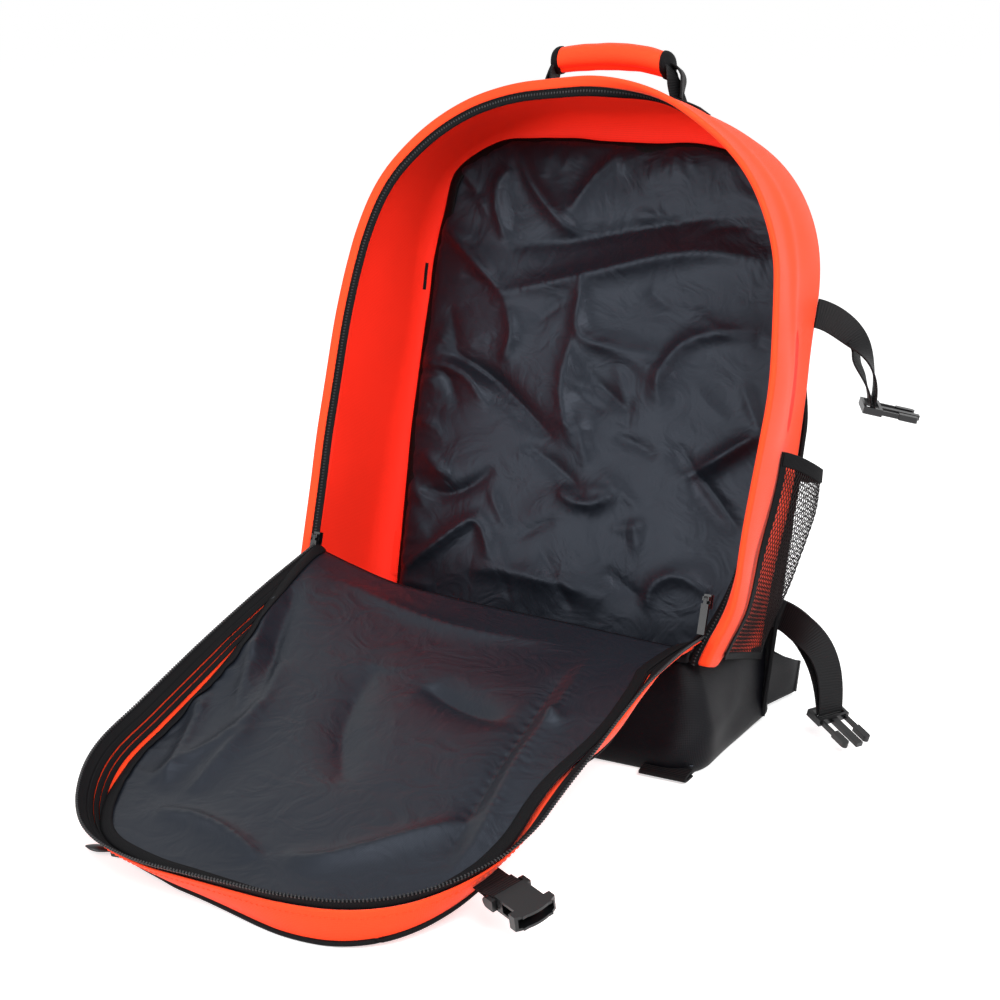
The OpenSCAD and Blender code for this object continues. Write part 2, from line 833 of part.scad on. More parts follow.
// Springy side prong of a male buckle, on its +Y or -Y side
module prong(half) {
  arm_w = 2.4;
  head_w = 6;
  head_in = prong_y + arm_w / 2 + 1 - head_w;
  color(black) mirror([0, half < 0 ? 1 : 0, 0]) {
    translate([prong_root, prong_y - arm_w / 2, -male_t / 3])
      cube([prong_l - prong_head, arm_w, 2 * male_t / 3]);
    translate([prong_root + prong_l - prong_head - 1, head_in, -male_t / 2.4])
      cube([prong_head - head_w / 2, head_w, male_t / 1.2]);
    translate([prong_root + prong_l - 1 - head_w / 2, head_in + head_w / 2, 0])
      cylinder(r = head_w / 2, h = male_t / 1.2, center = true);
  }
}

base_panel();
base_board();
base_tab();
base_wrap();
lower_front();
gusset();
back_panel();
back_lining();
lining_binding();
back_piping();
zip_tape_shell();
zip_teeth_shell();
handle_anchors();
side_pocket(-1);  // side_pocket_left
side_pocket(1);  // side_pocket_right
pocket_bands();
shoulder_strap(-1);  // shoulder_strap_left
shoulder_strap(1);  // shoulder_strap_right
ladder_locks();
shoulder_webbing();
strap_wings();
handle_grip();
handle_legs();
front_panel();
flap_strip();
flap_piping();
flap_lining();
flap_binding();
zip_tape_flap();
zip_teeth_flap();
front_pocket();
pocket_zip();
buckle_tethers();
slider(-1);  // slider_left
slider(1);  // slider_right
zip_pull(-1);  // pull_left
zip_pull(1);  // pull_right
pocket_slider();
pocket_pull();
upper_strap(-1);  // upper_strap_left
upper_strap(1);  // upper_strap_right
lower_strap(-1);  // lower_strap_left
lower_strap(1);  // lower_strap_right
on_upper_male(-1) male_buckle();  // upper_male_left
on_upper_male(1) male_buckle();  // upper_male_right
on_lower_male(-1) male_buckle();  // lower_male_left
on_lower_male(1) male_buckle();  // lower_male_right
on_upper_male(-1) prong(1);  // upper_prong_a_left
on_upper_male(-1) prong(-1);  // upper_prong_b_left
on_upper_male(1) prong(1);  // upper_prong_a_right
on_upper_male(1) prong(-1);  // upper_prong_b_right
on_lower_male(-1) prong(1);  // lower_prong_a_left
on_lower_male(-1) prong(-1);  // lower_prong_b_left
on_lower_male(1) prong(1);  // lower_prong_a_right
on_lower_male(1) prong(-1);  // lower_prong_b_right
upper_female(-1);  // upper_female_left
upper_female(1);  // upper_female_right
lower_female(-1);  // lower_female_left
lower_female(1);  // lower_female_right
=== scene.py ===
"""Looks of an open trauma backpack: cloth, zips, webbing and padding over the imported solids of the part."""

import logging
import math
from collections.abc import Sequence
from dataclasses import dataclass, field
from enum import Enum, IntEnum

import bpy
import numpy as np
from mathutils import Matrix, Vector
from mathutils.kdtree import KDTree


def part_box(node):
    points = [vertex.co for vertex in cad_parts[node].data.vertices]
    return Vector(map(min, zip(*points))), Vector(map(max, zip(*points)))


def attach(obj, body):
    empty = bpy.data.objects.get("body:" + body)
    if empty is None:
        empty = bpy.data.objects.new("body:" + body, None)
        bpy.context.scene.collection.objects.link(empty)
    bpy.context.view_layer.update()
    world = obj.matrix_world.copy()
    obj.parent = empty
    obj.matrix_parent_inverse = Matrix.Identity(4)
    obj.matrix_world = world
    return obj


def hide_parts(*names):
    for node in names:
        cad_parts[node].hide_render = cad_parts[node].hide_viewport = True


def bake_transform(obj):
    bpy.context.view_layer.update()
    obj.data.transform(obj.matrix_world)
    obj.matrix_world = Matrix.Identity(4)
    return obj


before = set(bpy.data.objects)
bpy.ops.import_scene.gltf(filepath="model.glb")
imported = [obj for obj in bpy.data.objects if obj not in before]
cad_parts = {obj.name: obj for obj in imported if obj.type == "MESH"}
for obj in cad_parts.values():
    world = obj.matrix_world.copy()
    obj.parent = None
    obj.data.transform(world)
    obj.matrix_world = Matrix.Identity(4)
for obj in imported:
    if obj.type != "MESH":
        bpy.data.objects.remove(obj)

log = logging.getLogger("backpack")
Array = np.ndarray
Piece = bpy.types.Object
Tree = bpy.types.NodeTree
Socket = bpy.types.NodeSocket
Keys = tuple[tuple[float, float], ...]
Fold = tuple[tuple[tuple[float, float], ...], float, float]

# The part's own sizes, in mm and degrees, as its source gives them
MM = 0.001
LEAN = math.radians(18.5)
FALL = math.radians(11.9348)
HALF_W, HEIGHT, CORNER, DEPTH, BACK_T = 195.0, 550.0, 154.0, 128.0, 12.0
SEAM, FOLD = 98.0, 128.0
WEB_W, WEB_T = 25.0, 1.8
SHELL_Y = -(DEPTH + BACK_T) / 2 / math.cos(LEAN)
FOLD_Y = FOLD * math.sin(LEAN) + SHELL_Y
FOLD_Z = FOLD * math.cos(LEAN)

# Depths over which the drawn-in front edge fades out and the nipped waist fades in, in mm
LIMP_TO, NIP_TO = 110.0, 100.0
# Spacing of the points along the outlines of shell and flap, in mm
STATION = 5.0


class Side(IntEnum):
    """Side of the bag, as the sign of its x."""

    RIGHT = 1
    LEFT = -1

    @property
    def word(self) -> str:
        """The side as it stands in the names of pieces and bodies."""
        return self.name.lower()


def bag(points: Array) -> Array:
    """Turns points of the leaning bag (x, depth, height) into the shared frame.

    Args:
        points: Any array whose last axis is x, depth, height in mm.

    Returns:
        The same points in the shared frame, in mm.
    """
    p = np.asarray(points, float)
    x, y, z = p[..., 0], p[..., 1], p[..., 2]
    c, s = math.cos(LEAN), math.sin(LEAN)
    return np.stack([x, y * c + z * s + SHELL_Y, z * c - y * s], -1)


def bag_way(vectors: Array) -> Array:
    """Turns directions of the leaning bag into the shared frame."""
    return bag(vectors) - bag(np.zeros(3))


def flap(points: Array) -> Array:
    """Turns points of the open flap (x, length from the fold, depth below the zip) into the shared frame.

    Args:
        points: Any array whose last axis is x, length and depth, in mm.

    Returns:
        The same points in the shared frame, in mm.
    """
    p = np.asarray(points, float)
    x, s, o = p[..., 0], p[..., 1], p[..., 2]
    c, n = math.cos(FALL), math.sin(FALL)
    return np.stack([x, FOLD_Y - s * c + o * n, FOLD_Z - s * n - o * c], -1)


def flap_way(vectors: Array) -> Array:
    """Turns directions of the open flap into the shared frame."""
    return flap(vectors) - flap(np.zeros(3))


def to_flap(points: Array) -> Array:
    """Turns points of the shared frame into the flap's own x, length and depth.

    Args:
        points: Any array of points in the shared frame, in mm.

    Returns:
        The same points in the flap's own frame, in mm.
    """
    p = np.asarray(points, float)
    x, y, z = p[..., 0], p[..., 1] - FOLD_Y, p[..., 2] - FOLD_Z
    c, n = math.cos(FALL), math.sin(FALL)
    return np.stack([x, -y * c - z * n, y * n - z * c], -1)


def above_ground(points: Array, low: float) -> Array:
    """Lifts points of the shared frame to at least low mm above the ground.

    Args:
        points: Points in the shared frame, in mm.
        low: Least height above the ground.

    Returns:
        The points, none of them lower.
    """
    lifted = points.copy()
    lifted[..., 2] = np.maximum(lifted[..., 2], low)
    return lifted


def unit(v: Array) -> Array:
    """Scales vectors to length one along the last axis."""
    return v / np.maximum(np.linalg.norm(v, axis=-1, keepdims=True), 1e-9)


def ease(t: Array | float) -> Array:
    """Smooth step from 0 to 1."""
    t = np.clip(t, 0, 1)
    return t * t * (3 - 2 * t)


def along_keys(keys: Keys, at: Array, blur: float = 18.0) -> Array:
    """Reads a rounded curve through keys.

    Args:
        keys: Pairs of place and value.
        at: Places to read, in the keys' unit.
        blur: Half width of the rounding, in the same unit.

    Returns:
        The value at each place.
    """
    x, y = zip(*keys)
    spread = np.linspace(-blur, blur, 7)
    return np.mean([np.interp(np.asarray(at) + d, x, y) for d in spread], axis=0)


def waves(u: Array, v: Array, seed: int, size: float, count: int = 7) -> Array:
    """Gentle unevenness of cloth, of about unit height.

    Args:
        u, v: Places on the cloth in mm.
        seed: Picks the pattern.
        size: Usual wavelength in mm.
        count: Number of waves that are summed.

    Returns:
        The height at each place.
    """
    rng = np.random.default_rng(seed)
    total = np.zeros(np.broadcast(u, v).shape)
    for _ in range(count):
        angle, phase, scale = rng.uniform(0, math.pi), rng.uniform(0, 6.28), rng.uniform(0.7, 1.8)
        total += np.sin((u * math.cos(angle) + v * math.sin(angle)) * 6.283 / (size * scale) + phase)
    return total / math.sqrt(count)


def xyz(x: Array | float, y: Array | float, z: Array | float) -> Array:
    """Joins coordinates, each an array or one number for all, into points."""
    return np.stack(np.broadcast_arrays(x, y, z), -1)


def node_box(name: str) -> tuple[Array, Array]:
    """Lowest and highest corner of a solid of the part, in mm."""
    lo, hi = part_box(name)
    return np.array(lo) / MM, np.array(hi) / MM


def lengths(path: Array) -> Array:
    """Length run along a path at each of its points."""
    return np.concatenate([[0], np.cumsum(np.linalg.norm(np.diff(path, axis=0), axis=-1))])


def spaced(path: Array, count: int) -> Array:
    """Spaces points evenly along a path.

    Args:
        path: The path's own points, of any number of coordinates.
        count: Number of points to return.

    Returns:
        The evenly spaced points.
    """
    run = lengths(path)
    at = np.linspace(0, run[-1], count)
    return np.stack([np.interp(at, run, path[:, k]) for k in range(path.shape[1])], -1)


def resample(path: Array, step: float) -> Array:
    """Spaces the points of a path evenly, about step mm apart."""
    return spaced(path, max(2, int(lengths(path)[-1] / step) + 1))


def smooth_path(points: Array, count: int) -> Array:
    """Rounds a coarse path by repeated corner cutting and spaces it evenly.

    Args:
        points: Corners of the path.
        count: Number of points to return.

    Returns:
        Points along the rounded path.
    """
    p = np.asarray(points, float)
    for _ in range(4):
        cut = np.empty((2 * len(p) - 2, p.shape[1]))
        cut[0::2] = 0.75 * p[:-1] + 0.25 * p[1:]
        cut[1::2] = 0.25 * p[:-1] + 0.75 * p[1:]
        p = np.concatenate([p[:1], cut, p[-1:]])
    return spaced(p, count)


def bezier(points: Sequence[Array], count: int) -> Array:
    """Points along a cubic curve through its first and last control point.

    Args:
        points: The four control points.
        count: Number of points to return.

    Returns:
        Points along the curve.
    """
    a, b, c, d = (np.asarray(p, float) for p in points)
    t = np.linspace(0, 1, count)[:, None]
    return a * (1 - t) ** 3 + 3 * b * t * (1 - t) ** 2 + 3 * c * t**2 * (1 - t) + d * t**3


def turned(v: Sequence[float], angles: Sequence[float]) -> Array:
    """Turns a vector about x, then y, then z by degrees.

    Args:
        v: The vector.
        angles: Angles about x, y and z.

    Returns:
        The turned vector.
    """
    out = Vector(v)
    for axis, angle in zip("XYZ", angles):
        out = Matrix.Rotation(math.radians(angle), 3, axis) @ out
    return np.array(out)


def linear(code: str) -> tuple[float, float, float, float]:
    """Turns an sRGB hex colour into linear RGBA."""
    raw = [int(code[i : i + 2], 16) / 255 for i in (1, 3, 5)]
    return (*(c / 12.92 if c <= 0.04045 else ((c + 0.055) / 1.055) ** 2.4 for c in raw), 1.0)


class Weave(Enum):
    """Surface pattern of a finish."""

    PLAIN = "plain"
    RIB = "rib"
    KNIT = "knit"
    GRAIN = "grain"


def add_node(tree: Tree, kind: str, inputs: dict | None = None, **settings) -> bpy.types.Node:
    """Adds a shader node.

    Args:
        tree: The tree that takes the node.
        kind: Blender's node type.
        inputs: Values or output sockets, by input name or number.
        **settings: Properties of the node itself.

    Returns:
        The new node.
    """
    made = tree.nodes.new(kind)
    for key, value in settings.items():
        setattr(made, key, value)
    for key, value in (inputs or {}).items():
        if isinstance(value, Socket):
            tree.links.new(value, made.inputs[key])
        else:
            made.inputs[key].default_value = value
    return made


# What all finishes share: clouds in the dye, painted shade in the weave's hollows and painted light on its
# crowns, spread of the gloss, depth of the bumps
CLOUD_SCALE, CLOUD_LOW, CLOUD_HIGH = 14.0, 0.3, 0.7
WEAVE_HOLLOW_SHADE, WEAVE_CROWN_LIGHT = 0.86, 1.06
GLOSS_SPREAD = 0.07
WEAVE_BUMP = 0.6
CRUSH_SCALE = 26.0


@dataclass(frozen=True)
class Finish:
    """A real material, drawn from its colour, gloss and the pitch of its weave."""

    name: str
    slot: str
    colour: str
    rough: float
    weave: Weave
    pitch: float
    relief: float
    ior: float = 1.4
    sheen: float = 0.0
    coat: float = 0.0
    mottle: float = 0.06
    metal: float = 0.0
    crumple: float = 0.0
    # Tint of the reflections; a blue tint here is painted cool light
    painted_gloss_tint: tuple[float, float, float, float] = (1.0, 1.0, 1.0, 1.0)

    def height(self, tree: Tree, uv: Socket) -> Socket:
        """Builds the weave's height pattern.

        Args:
            tree: The material's nodes.
            uv: Place on the flat cloth, in metres.

        Returns:
            Socket of the height.
        """
        cells = {"Vector": uv, "Scale": 1 / (self.pitch * MM)}
        if self.weave is Weave.KNIT:
            return add_node(tree, "ShaderNodeTexVoronoi", cells).outputs["Distance"]
        if self.weave is Weave.GRAIN:
            return add_node(tree, "ShaderNodeTexNoise", cells | {"Detail": 3.0}).outputs["Fac"]
        threads = {"Vector": uv, "Scale": 0.314159 / (self.pitch * MM), "Distortion": 0.3}
        warp = add_node(tree, "ShaderNodeTexWave", threads, bands_direction="X")
        if self.weave is Weave.RIB:
            return warp.outputs["Fac"]
        weft = add_node(tree, "ShaderNodeTexWave", threads, bands_direction="Y")
        pair = {0: warp.outputs["Fac"], 1: weft.outputs["Fac"]}
        return add_node(tree, "ShaderNodeMath", pair, operation="ADD").outputs[0]

    def material(self) -> bpy.types.Material:
        """Makes the shader once and hands out the same one afterwards.

        Returns:
            The material.
        """
        known = bpy.data.materials.get(self.name)
        if known:
            return known
        made = bpy.data.materials.new(self.name)
        made.use_nodes = True
        tree = made.node_tree
        shader = tree.nodes["Principled BSDF"]
        where = add_node(tree, "ShaderNodeTexCoord")
        high = self.height(tree, where.outputs["UV"])
        spots = {"Vector": where.outputs["Object"], "Scale": CLOUD_SCALE, "Detail": 4.0}
        cloud = add_node(tree, "ShaderNodeTexNoise", spots).outputs["Fac"]
        uneven = {"Value": cloud, "From Min": CLOUD_LOW, "From Max": CLOUD_HIGH,
                  "To Min": 1 - self.mottle, "To Max": 1 + self.mottle}
        shade = add_node(tree, "ShaderNodeMapRange", uneven)
        # The weave's height also darkens and lightens the colour: painted shade in its hollows, painted light
        # on its crowns.
        yarns = {"Value": high, "To Min": WEAVE_HOLLOW_SHADE, "To Max": WEAVE_CROWN_LIGHT}
        weave_light = add_node(tree, "ShaderNodeMapRange", yarns)
        product = {0: shade.outputs[0], 1: weave_light.outputs[0]}
        level = add_node(tree, "ShaderNodeMath", product, operation="MULTIPLY")
        dye = {0: linear(self.colour)[:3], 3: level.outputs[0]}
        tint = add_node(tree, "ShaderNodeVectorMath", dye, operation="SCALE")
        shine = {"Value": cloud, "To Min": self.rough - GLOSS_SPREAD, "To Max": self.rough + GLOSS_SPREAD}
        gloss = add_node(tree, "ShaderNodeMapRange", shine)
        weave = {"Height": high, "Strength": WEAVE_BUMP, "Distance": self.relief * MM}
        bump = add_node(tree, "ShaderNodeBump", weave)
        if self.crumple:
            crush = {"Vector": where.outputs["UV"], "Scale": CRUSH_SCALE, "Detail": 2.5, "Distortion": 1.8}
            soft = add_node(tree, "ShaderNodeTexNoise", crush).outputs["Fac"]
            over = {"Height": soft, "Strength": 1.0, "Distance": self.crumple * MM, "Normal": bump.outputs[0]}
            bump = add_node(tree, "ShaderNodeBump", over)
        tree.links.new(tint.outputs[0], shader.inputs["Base Color"])
        tree.links.new(gloss.outputs[0], shader.inputs["Roughness"])
        tree.links.new(bump.outputs[0], shader.inputs["Normal"])
        fixed = {"IOR": self.ior, "Metallic": self.metal, "Specular Tint": self.painted_gloss_tint,
                 "Sheen Weight": self.sheen, "Sheen Roughness": 0.4,
                 "Coat Weight": self.coat, "Coat Roughness": 0.3}
        for socket, value in fixed.items():
            shader.inputs[socket].default_value = value
        return made


# PU-coated polyester: flat saturated cloth, barely satin; its 0.5 mm weave is drawn at 1.2 mm, to show at all
ORANGE = Finish("orange PU-coated polyester", "orange_polyester", "#FA441F", 0.62, Weave.PLAIN, 1.2, 0.1, 1.2,
                sheen=0.1, mottle=0.03)
# The coated inner face of the same cloth: smoother, and painted redder, a painted bounce light that stands in
# for the light thrown from wall to wall
PAINTED_BOUNCE = Finish("red-orange PU coating", "orange_polyester", "#FC2E1C", 0.6, Weave.PLAIN, 1.2, 0.06, 1.2,
                 mottle=0.03)
# The same cloth dyed black: near black under light, with a dull satin gloss on its folds
BLACK = Finish("black PU-coated polyester", "black_polyester", "#08080C", 0.5, Weave.PLAIN, 1.2, 0.1, 1.2)
# Nylon taffeta lining: thin and slightly glossy, so its wrinkles catch the light; 0.2 mm weave drawn at 1 mm
# The blue in its base colour and in its reflections is painted cool light; it also tones down the red bounce
# from the orange walls.
LINING = Finish("charcoal nylon taffeta", "charcoal_lining", "#13161C", 0.42, Weave.PLAIN, 1.0, 0.04, 1.34,
                crumple=1.6, painted_gloss_tint=(0.74, 0.83, 1.0, 1.0))
# Polypropylene webbing: ribs across the run about 2 mm apart, matt with a soft lift
WEBBING = Finish("black polypropylene webbing", "black_webbing", "#0A0A0C", 0.6, Weave.RIB, 2.2, 0.35, 1.25,
                 sheen=0.02)
# Grosgrain binding tape: fine ribs across, matt
BINDING = Finish("black grosgrain binding", "black_webbing", "#08080A", 0.68, Weave.RIB, 1.4, 0.2, 1.2)
# Nylon coil: near black, a little glossier than the cloth beside it
COIL = Finish("black nylon coil", "black_acetal", "#0D0D10", 0.34, Weave.GRAIN, 0.8, 0.03, 1.4)
# Acetal: moulded, smooth and slightly waxy
ACETAL = Finish("black acetal", "black_acetal", "#0C0C0E", 0.32, Weave.GRAIN, 0.9, 0.03, 1.42)
# Lacquered zinc: dark and hard, with sharper highlights than the plastic
ZINC = Finish("black lacquered zinc", "zip_metal", "#0E0E10", 0.28, Weave.GRAIN, 0.6, 0.02, 1.5,
              coat=0.3, metal=0.4)
# Polyester net and air mesh: matt yarn with open cells
NET = Finish("black polyester net", "black_mesh", "#0B0B0D", 0.6, Weave.RIB, 0.9, 0.1, 1.3)
AIR_MESH = Finish("black air mesh", "black_mesh", "#101013", 0.75, Weave.KNIT, 3.2, 0.6, 1.3, sheen=0.03)


def make(name: str, verts: Array, faces: Sequence, finish: Finish, uv: Array | None = None) -> Piece:
    """Makes a smooth-shaded mesh piece.

    Args:
        name: Name of the piece.
        verts: Vertices in the shared frame, in mm.
        faces: Vertex numbers of each face.
        finish: The piece's material.
        uv: Place of each vertex on the flat cloth, in metres.

    Returns:
        The new object.
    """
    mesh = bpy.data.meshes.new(name)
    mesh.from_pydata((np.asarray(verts) * MM).tolist(), [], [tuple(int(i) for i in f) for f in faces])
    if uv is not None:
        corner = np.empty(len(mesh.loops), dtype=np.int32)
        mesh.loops.foreach_get("vertex_index", corner)
        mesh.uv_layers.new(name="metres").data.foreach_set("uv", np.asarray(uv)[corner].ravel())
    mesh.shade_smooth()
    obj = bpy.data.objects.new(name, mesh)
    bpy.context.scene.collection.objects.link(obj)
    mesh.materials.append(finish.material())
    return obj


def thicken(obj: Piece, thick: float, levels: int = 0) -> Piece:
    """Gives a sheet its thickness in mm, after rounding it by subdivision.

    Args:
        obj: The sheet.
        thick: Its thickness in mm.
        levels: Rounds of subdivision.

    Returns:
        The same object.
    """
    if levels:
        rounder = obj.modifiers.new("round", "SUBSURF")
        rounder.levels = rounder.render_levels = levels
    body = obj.modifiers.new("thick", "SOLIDIFY")
    body.thickness = thick * MM
    body.offset = 0.0
    return obj


def grid(name: str, pts: Array, finish: Finish, loop: bool = False, ends: bool = False) -> Piece:
    """Makes a sheet or a closed form from rows of points.

    Args:
        name: Name of the piece.
        pts: Points (rows, columns, 3) in the shared frame, in mm.
        finish: The piece's material.
        loop: Whether the last column joins the first.
        ends: Whether the first and last row of a loop are closed.

    Returns:
        The new object, with metres along its rows and columns as UV.
    """
    n, m = pts.shape[:2]
    u = np.concatenate([[0], np.cumsum(np.linalg.norm(np.diff(pts, axis=0), axis=-1).mean(1))])
    v = np.concatenate([[0], np.cumsum(np.linalg.norm(np.diff(pts, axis=1), axis=-1).mean(0))])
    uv = np.stack(np.meshgrid(u, v, indexing="ij"), -1).reshape(-1, 2) * MM
    cols = m if loop else m - 1
    faces = [(i * m + j, (i + 1) * m + j, (i + 1) * m + (j + 1) % m, i * m + (j + 1) % m)
             for i in range(n - 1) for j in range(cols)]
    if ends:
        faces += [tuple(range(m)), tuple(range(n * m - 1, (n - 1) * m - 1, -1))]
    obj = make(name, pts.reshape(-1, 3), faces, finish, uv)
    if ends:
        obj.data.set_sharp_from_angle(angle=math.radians(50))
    return obj


def layer(name: str, pts: Array, finish: Finish, thick: float, levels: int = 0) -> Piece:
    """Makes a sheet of a thickness in mm from rows of points."""
    return thicken(grid(name, pts, finish), thick, levels)


def directions(path: Array) -> Array:
    """Unit tangents of a path."""
    return unit(np.gradient(path, axis=0))


def ribbon(name: str, path: Array, side: Array, width: float, thick: float, finish: Finish) -> Piece:
    """Makes flat tape or webbing with rounded edges.

    Args:
        name: Name of the piece.
        path: Middle line in the shared frame, in mm.
        side: Direction across the tape at each point, or one for all.
        width, thick: Section of the tape in mm.
        finish: The tape's material.

    Returns:
        The new object.
    """
    along = directions(path)
    side = np.broadcast_to(np.asarray(side, float), path.shape)
    side = unit(side - along * (side * along).sum(-1, keepdims=True))
    out = np.cross(along, side)
    w, t = width / 2, thick / 2
    half = [(w, 0), (w - t * 0.6, t), (w / 3, t), (-w / 3, t), (t * 0.6 - w, t)]
    section = half + [(-a, -b) for a, b in half]
    pts = np.stack([path + a * side + b * out for a, b in section], 1)
    return grid(name, pts, finish, loop=True, ends=True)


def tube(name: str, path: Array, radius: Array | float, finish: Finish, sides: int = 10) -> Piece:
    """Makes a cord along a path, with closed ends.

    Args:
        name: Name of the piece.
        path: Middle line in the shared frame, in mm.
        radius: Radius in mm, one for all points or one each.
        finish: The cord's material.
        sides: Number of sides of the section.

    Returns:
        The new object.
    """
    along = directions(path)
    ref = np.where(np.abs(along[:, :1]) < 0.8, [[1.0, 0, 0]], [[0, 0, 1.0]])
    a = unit(np.cross(along, ref))
    b = np.cross(along, a)
    turn = np.linspace(0, 2 * math.pi, sides, endpoint=False)
    r = np.broadcast_to(np.asarray(radius, float), (len(path),))[:, None, None]
    ring = a[:, None] * np.cos(turn)[None, :, None] + b[:, None] * np.sin(turn)[None, :, None]
    return grid(name, path[:, None] + r * ring, finish, loop=True, ends=True)


def beads(name: str, path: Array, across: Array, pitch: float, size: Sequence[float],
          finish: Finish) -> Piece:
    """Sets a row of small rounded elements along a path, such as zip teeth or stitches.

    Args:
        name: Name of the piece.
        path: Middle line in the shared frame, in mm.
        across: Direction across the row at each point.
        pitch: Distance between elements in mm.
        size: Length along the row, width across it and thickness, in mm.
        finish: The elements' material.

    Returns:
        The new object.
    """
    both = resample(np.concatenate([path, np.broadcast_to(across, path.shape) * 1e-6], 1), pitch)
    mid, side = both[:, :3], unit(both[:, 3:])
    along = directions(mid)
    side = unit(side - along * (side * along).sum(-1, keepdims=True))
    axes = np.stack([along, side, np.cross(along, side)], 1)
    sides = 6
    ring = [(math.cos(a) / 2, math.sin(a) / 2) for a in np.linspace(0, 2 * math.pi, sides, endpoint=False)]
    local = [(-0.5, 0, 0), *[(-0.3, c, s) for c, s in ring], *[(0.3, c, s) for c, s in ring], (0.5, 0, 0)]
    shape = np.array(local) * np.asarray(size)
    first, second = list(range(1, sides + 1)), list(range(sides + 1, 2 * sides + 1))
    bead = [(0, first[j - sides + 1], first[j]) for j in range(sides)]
    bead += [(len(local) - 1, second[j], second[j - sides + 1]) for j in range(sides)]
    bead += [(first[j], first[j - sides + 1], second[j - sides + 1], second[j]) for j in range(sides)]
    verts = (mid[:, None] + shape @ axes).reshape(-1, 3)
    faces = [tuple(k * len(local) + i for i in f) for k in range(len(mid)) for f in bead]
    return make(name, verts, faces, finish, verts[:, :2] * MM)


def inside(points: Array, outline: Array) -> Array:
    """Tells which 2-D points lie inside a closed outline.

    Args:
        points: The points to test.
        outline: Corners of the outline, in order.

    Returns:
        True for each point that lies inside.
    """
    x, y = points[:, 0], points[:, 1]
    hit = np.zeros(len(points), bool)
    for (ax, ay), (bx, by) in zip(outline, np.roll(outline, -1, 0)):
        cross = (ay > y) != (by > y)
        hit ^= cross & (x < (bx - ax) * (y - ay) / (by - ay + 1e-12) + ax)
    return hit


# A cut cloth: spacing along its rim in mm, rounds that stretch it, and points and fall-off of a crease
RIM_STEP = 1.5
STRETCH_ROUNDS = 1500
CREASE_POINTS, CREASE_FALL = 40, 1.05


@dataclass
class Spread:
    """A cloth cut to a closed outline, as an even net of points that can wrinkle."""

    outline: Array
    levels: Array
    step: float
    verts: Array = field(init=False)
    faces: list = field(init=False)
    rim: Array = field(init=False)
    height: Array = field(init=False)

    def __post_init__(self) -> None:
        """Cuts the net along the outline and stretches it."""
        lo, hi = self.outline.min(0), self.outline.max(0)
        xs = np.arange(lo[0], hi[0] + self.step, self.step)
        ys = np.arange(lo[1], hi[1] + self.step, self.step)
        nx, ny = len(xs), len(ys)
        every = np.stack(np.meshgrid(xs, ys, indexing="ij"), -1).reshape(-1, 2)
        keep = inside(every, self.outline).reshape(nx, ny)
        cell = keep[:-1, :-1] & keep[1:, :-1] & keep[:-1, 1:] & keep[1:, 1:]
        full = np.zeros((nx, ny), int)
        for a in (0, 1):
            for b in (0, 1):
                full[a : nx - 1 + a, b : ny - 1 + b] += cell
        used, rim = full > 0, (full > 0) & (full < 4)
        number = np.full((nx, ny), -1)
        number[used] = np.arange(used.sum())
        self.faces = [(number[i, j], number[i + 1, j], number[i + 1, j + 1], number[i, j + 1])
                      for i, j in np.argwhere(cell)]
        self.verts = every.reshape(nx, ny, 2)[used].copy()
        self.rim = rim[used]
        self.stretch(used, rim)

    def stretch(self, used: Array, rim: Array) -> None:
        """Moves the rim onto the outline and stretches the cloth between its levels.

        Args:
            used: Which points of the full net belong to the cloth.
            rim: Which of them lie on its rim.
        """
        nx, ny = used.shape
        dense = np.concatenate([self.outline, self.levels[:, None]], 1)
        dense = resample(np.concatenate([dense, dense[:1]]), RIM_STEP)
        edge = np.flatnonzero(self.rim)
        near = ((self.verts[edge, None] - dense[None, :, :2]) ** 2).sum(-1).argmin(1)
        self.verts[edge] = dense[near, :2]
        fixed = np.full(used.sum(), dense[:, 2].mean())
        fixed[edge] = dense[near, 2]
        value = np.zeros((nx, ny))
        value[used] = fixed
        held, inner = value.copy(), used & ~rim
        for _ in range(STRETCH_ROUNDS):
            mean = np.zeros((nx, ny))
            mean[1:-1, 1:-1] = (value[2:, 1:-1] + value[:-2, 1:-1] + value[1:-1, 2:] + value[1:-1, :-2]) / 4
            value = np.where(inner, mean, held)
        self.height = value[used]

    def crease(self, line: Sequence[tuple[float, float]], high: float, wide: float) -> None:
        """Presses a soft fold into the cloth that fades at its ends and at the rim.

        Args:
            line: Points of the fold on the flat cloth, in mm.
            high: Its height in mm.
            wide: Its half width in mm.
        """
        dense = smooth_path(np.array(line, float), CREASE_POINTS)
        gaps = np.sqrt(((self.verts[:, None] - dense[None]) ** 2).sum(-1))
        fade = np.sin(math.pi * (gaps.argmin(1) + 0.5) / len(dense)) ** 0.5
        self.height += np.where(self.rim, 0, high * fade * np.exp(-((gaps.min(1) / wide) ** CREASE_FALL)))

    def at(self, points: Array, height: Array) -> Array:
        """Height of the cloth near each 2-D point, from its four nearest net points.

        Args:
            points: Places on the cloth, in mm.
            height: Height of each net point.

        Returns:
            The height at each place.
        """
        tree = KDTree(len(self.verts))
        for i, (x, y) in enumerate(self.verts):
            tree.insert((x, y, 0), i)
        tree.balance()
        found = []
        for x, y in points:
            near = tree.find_n((x, y, 0), 4)
            weight = np.array([1 / (gap * gap + 1) for _, _, gap in near])
            found.append(height[[i for _, i, _ in near]] @ weight / weight.sum())
        return np.array(found)


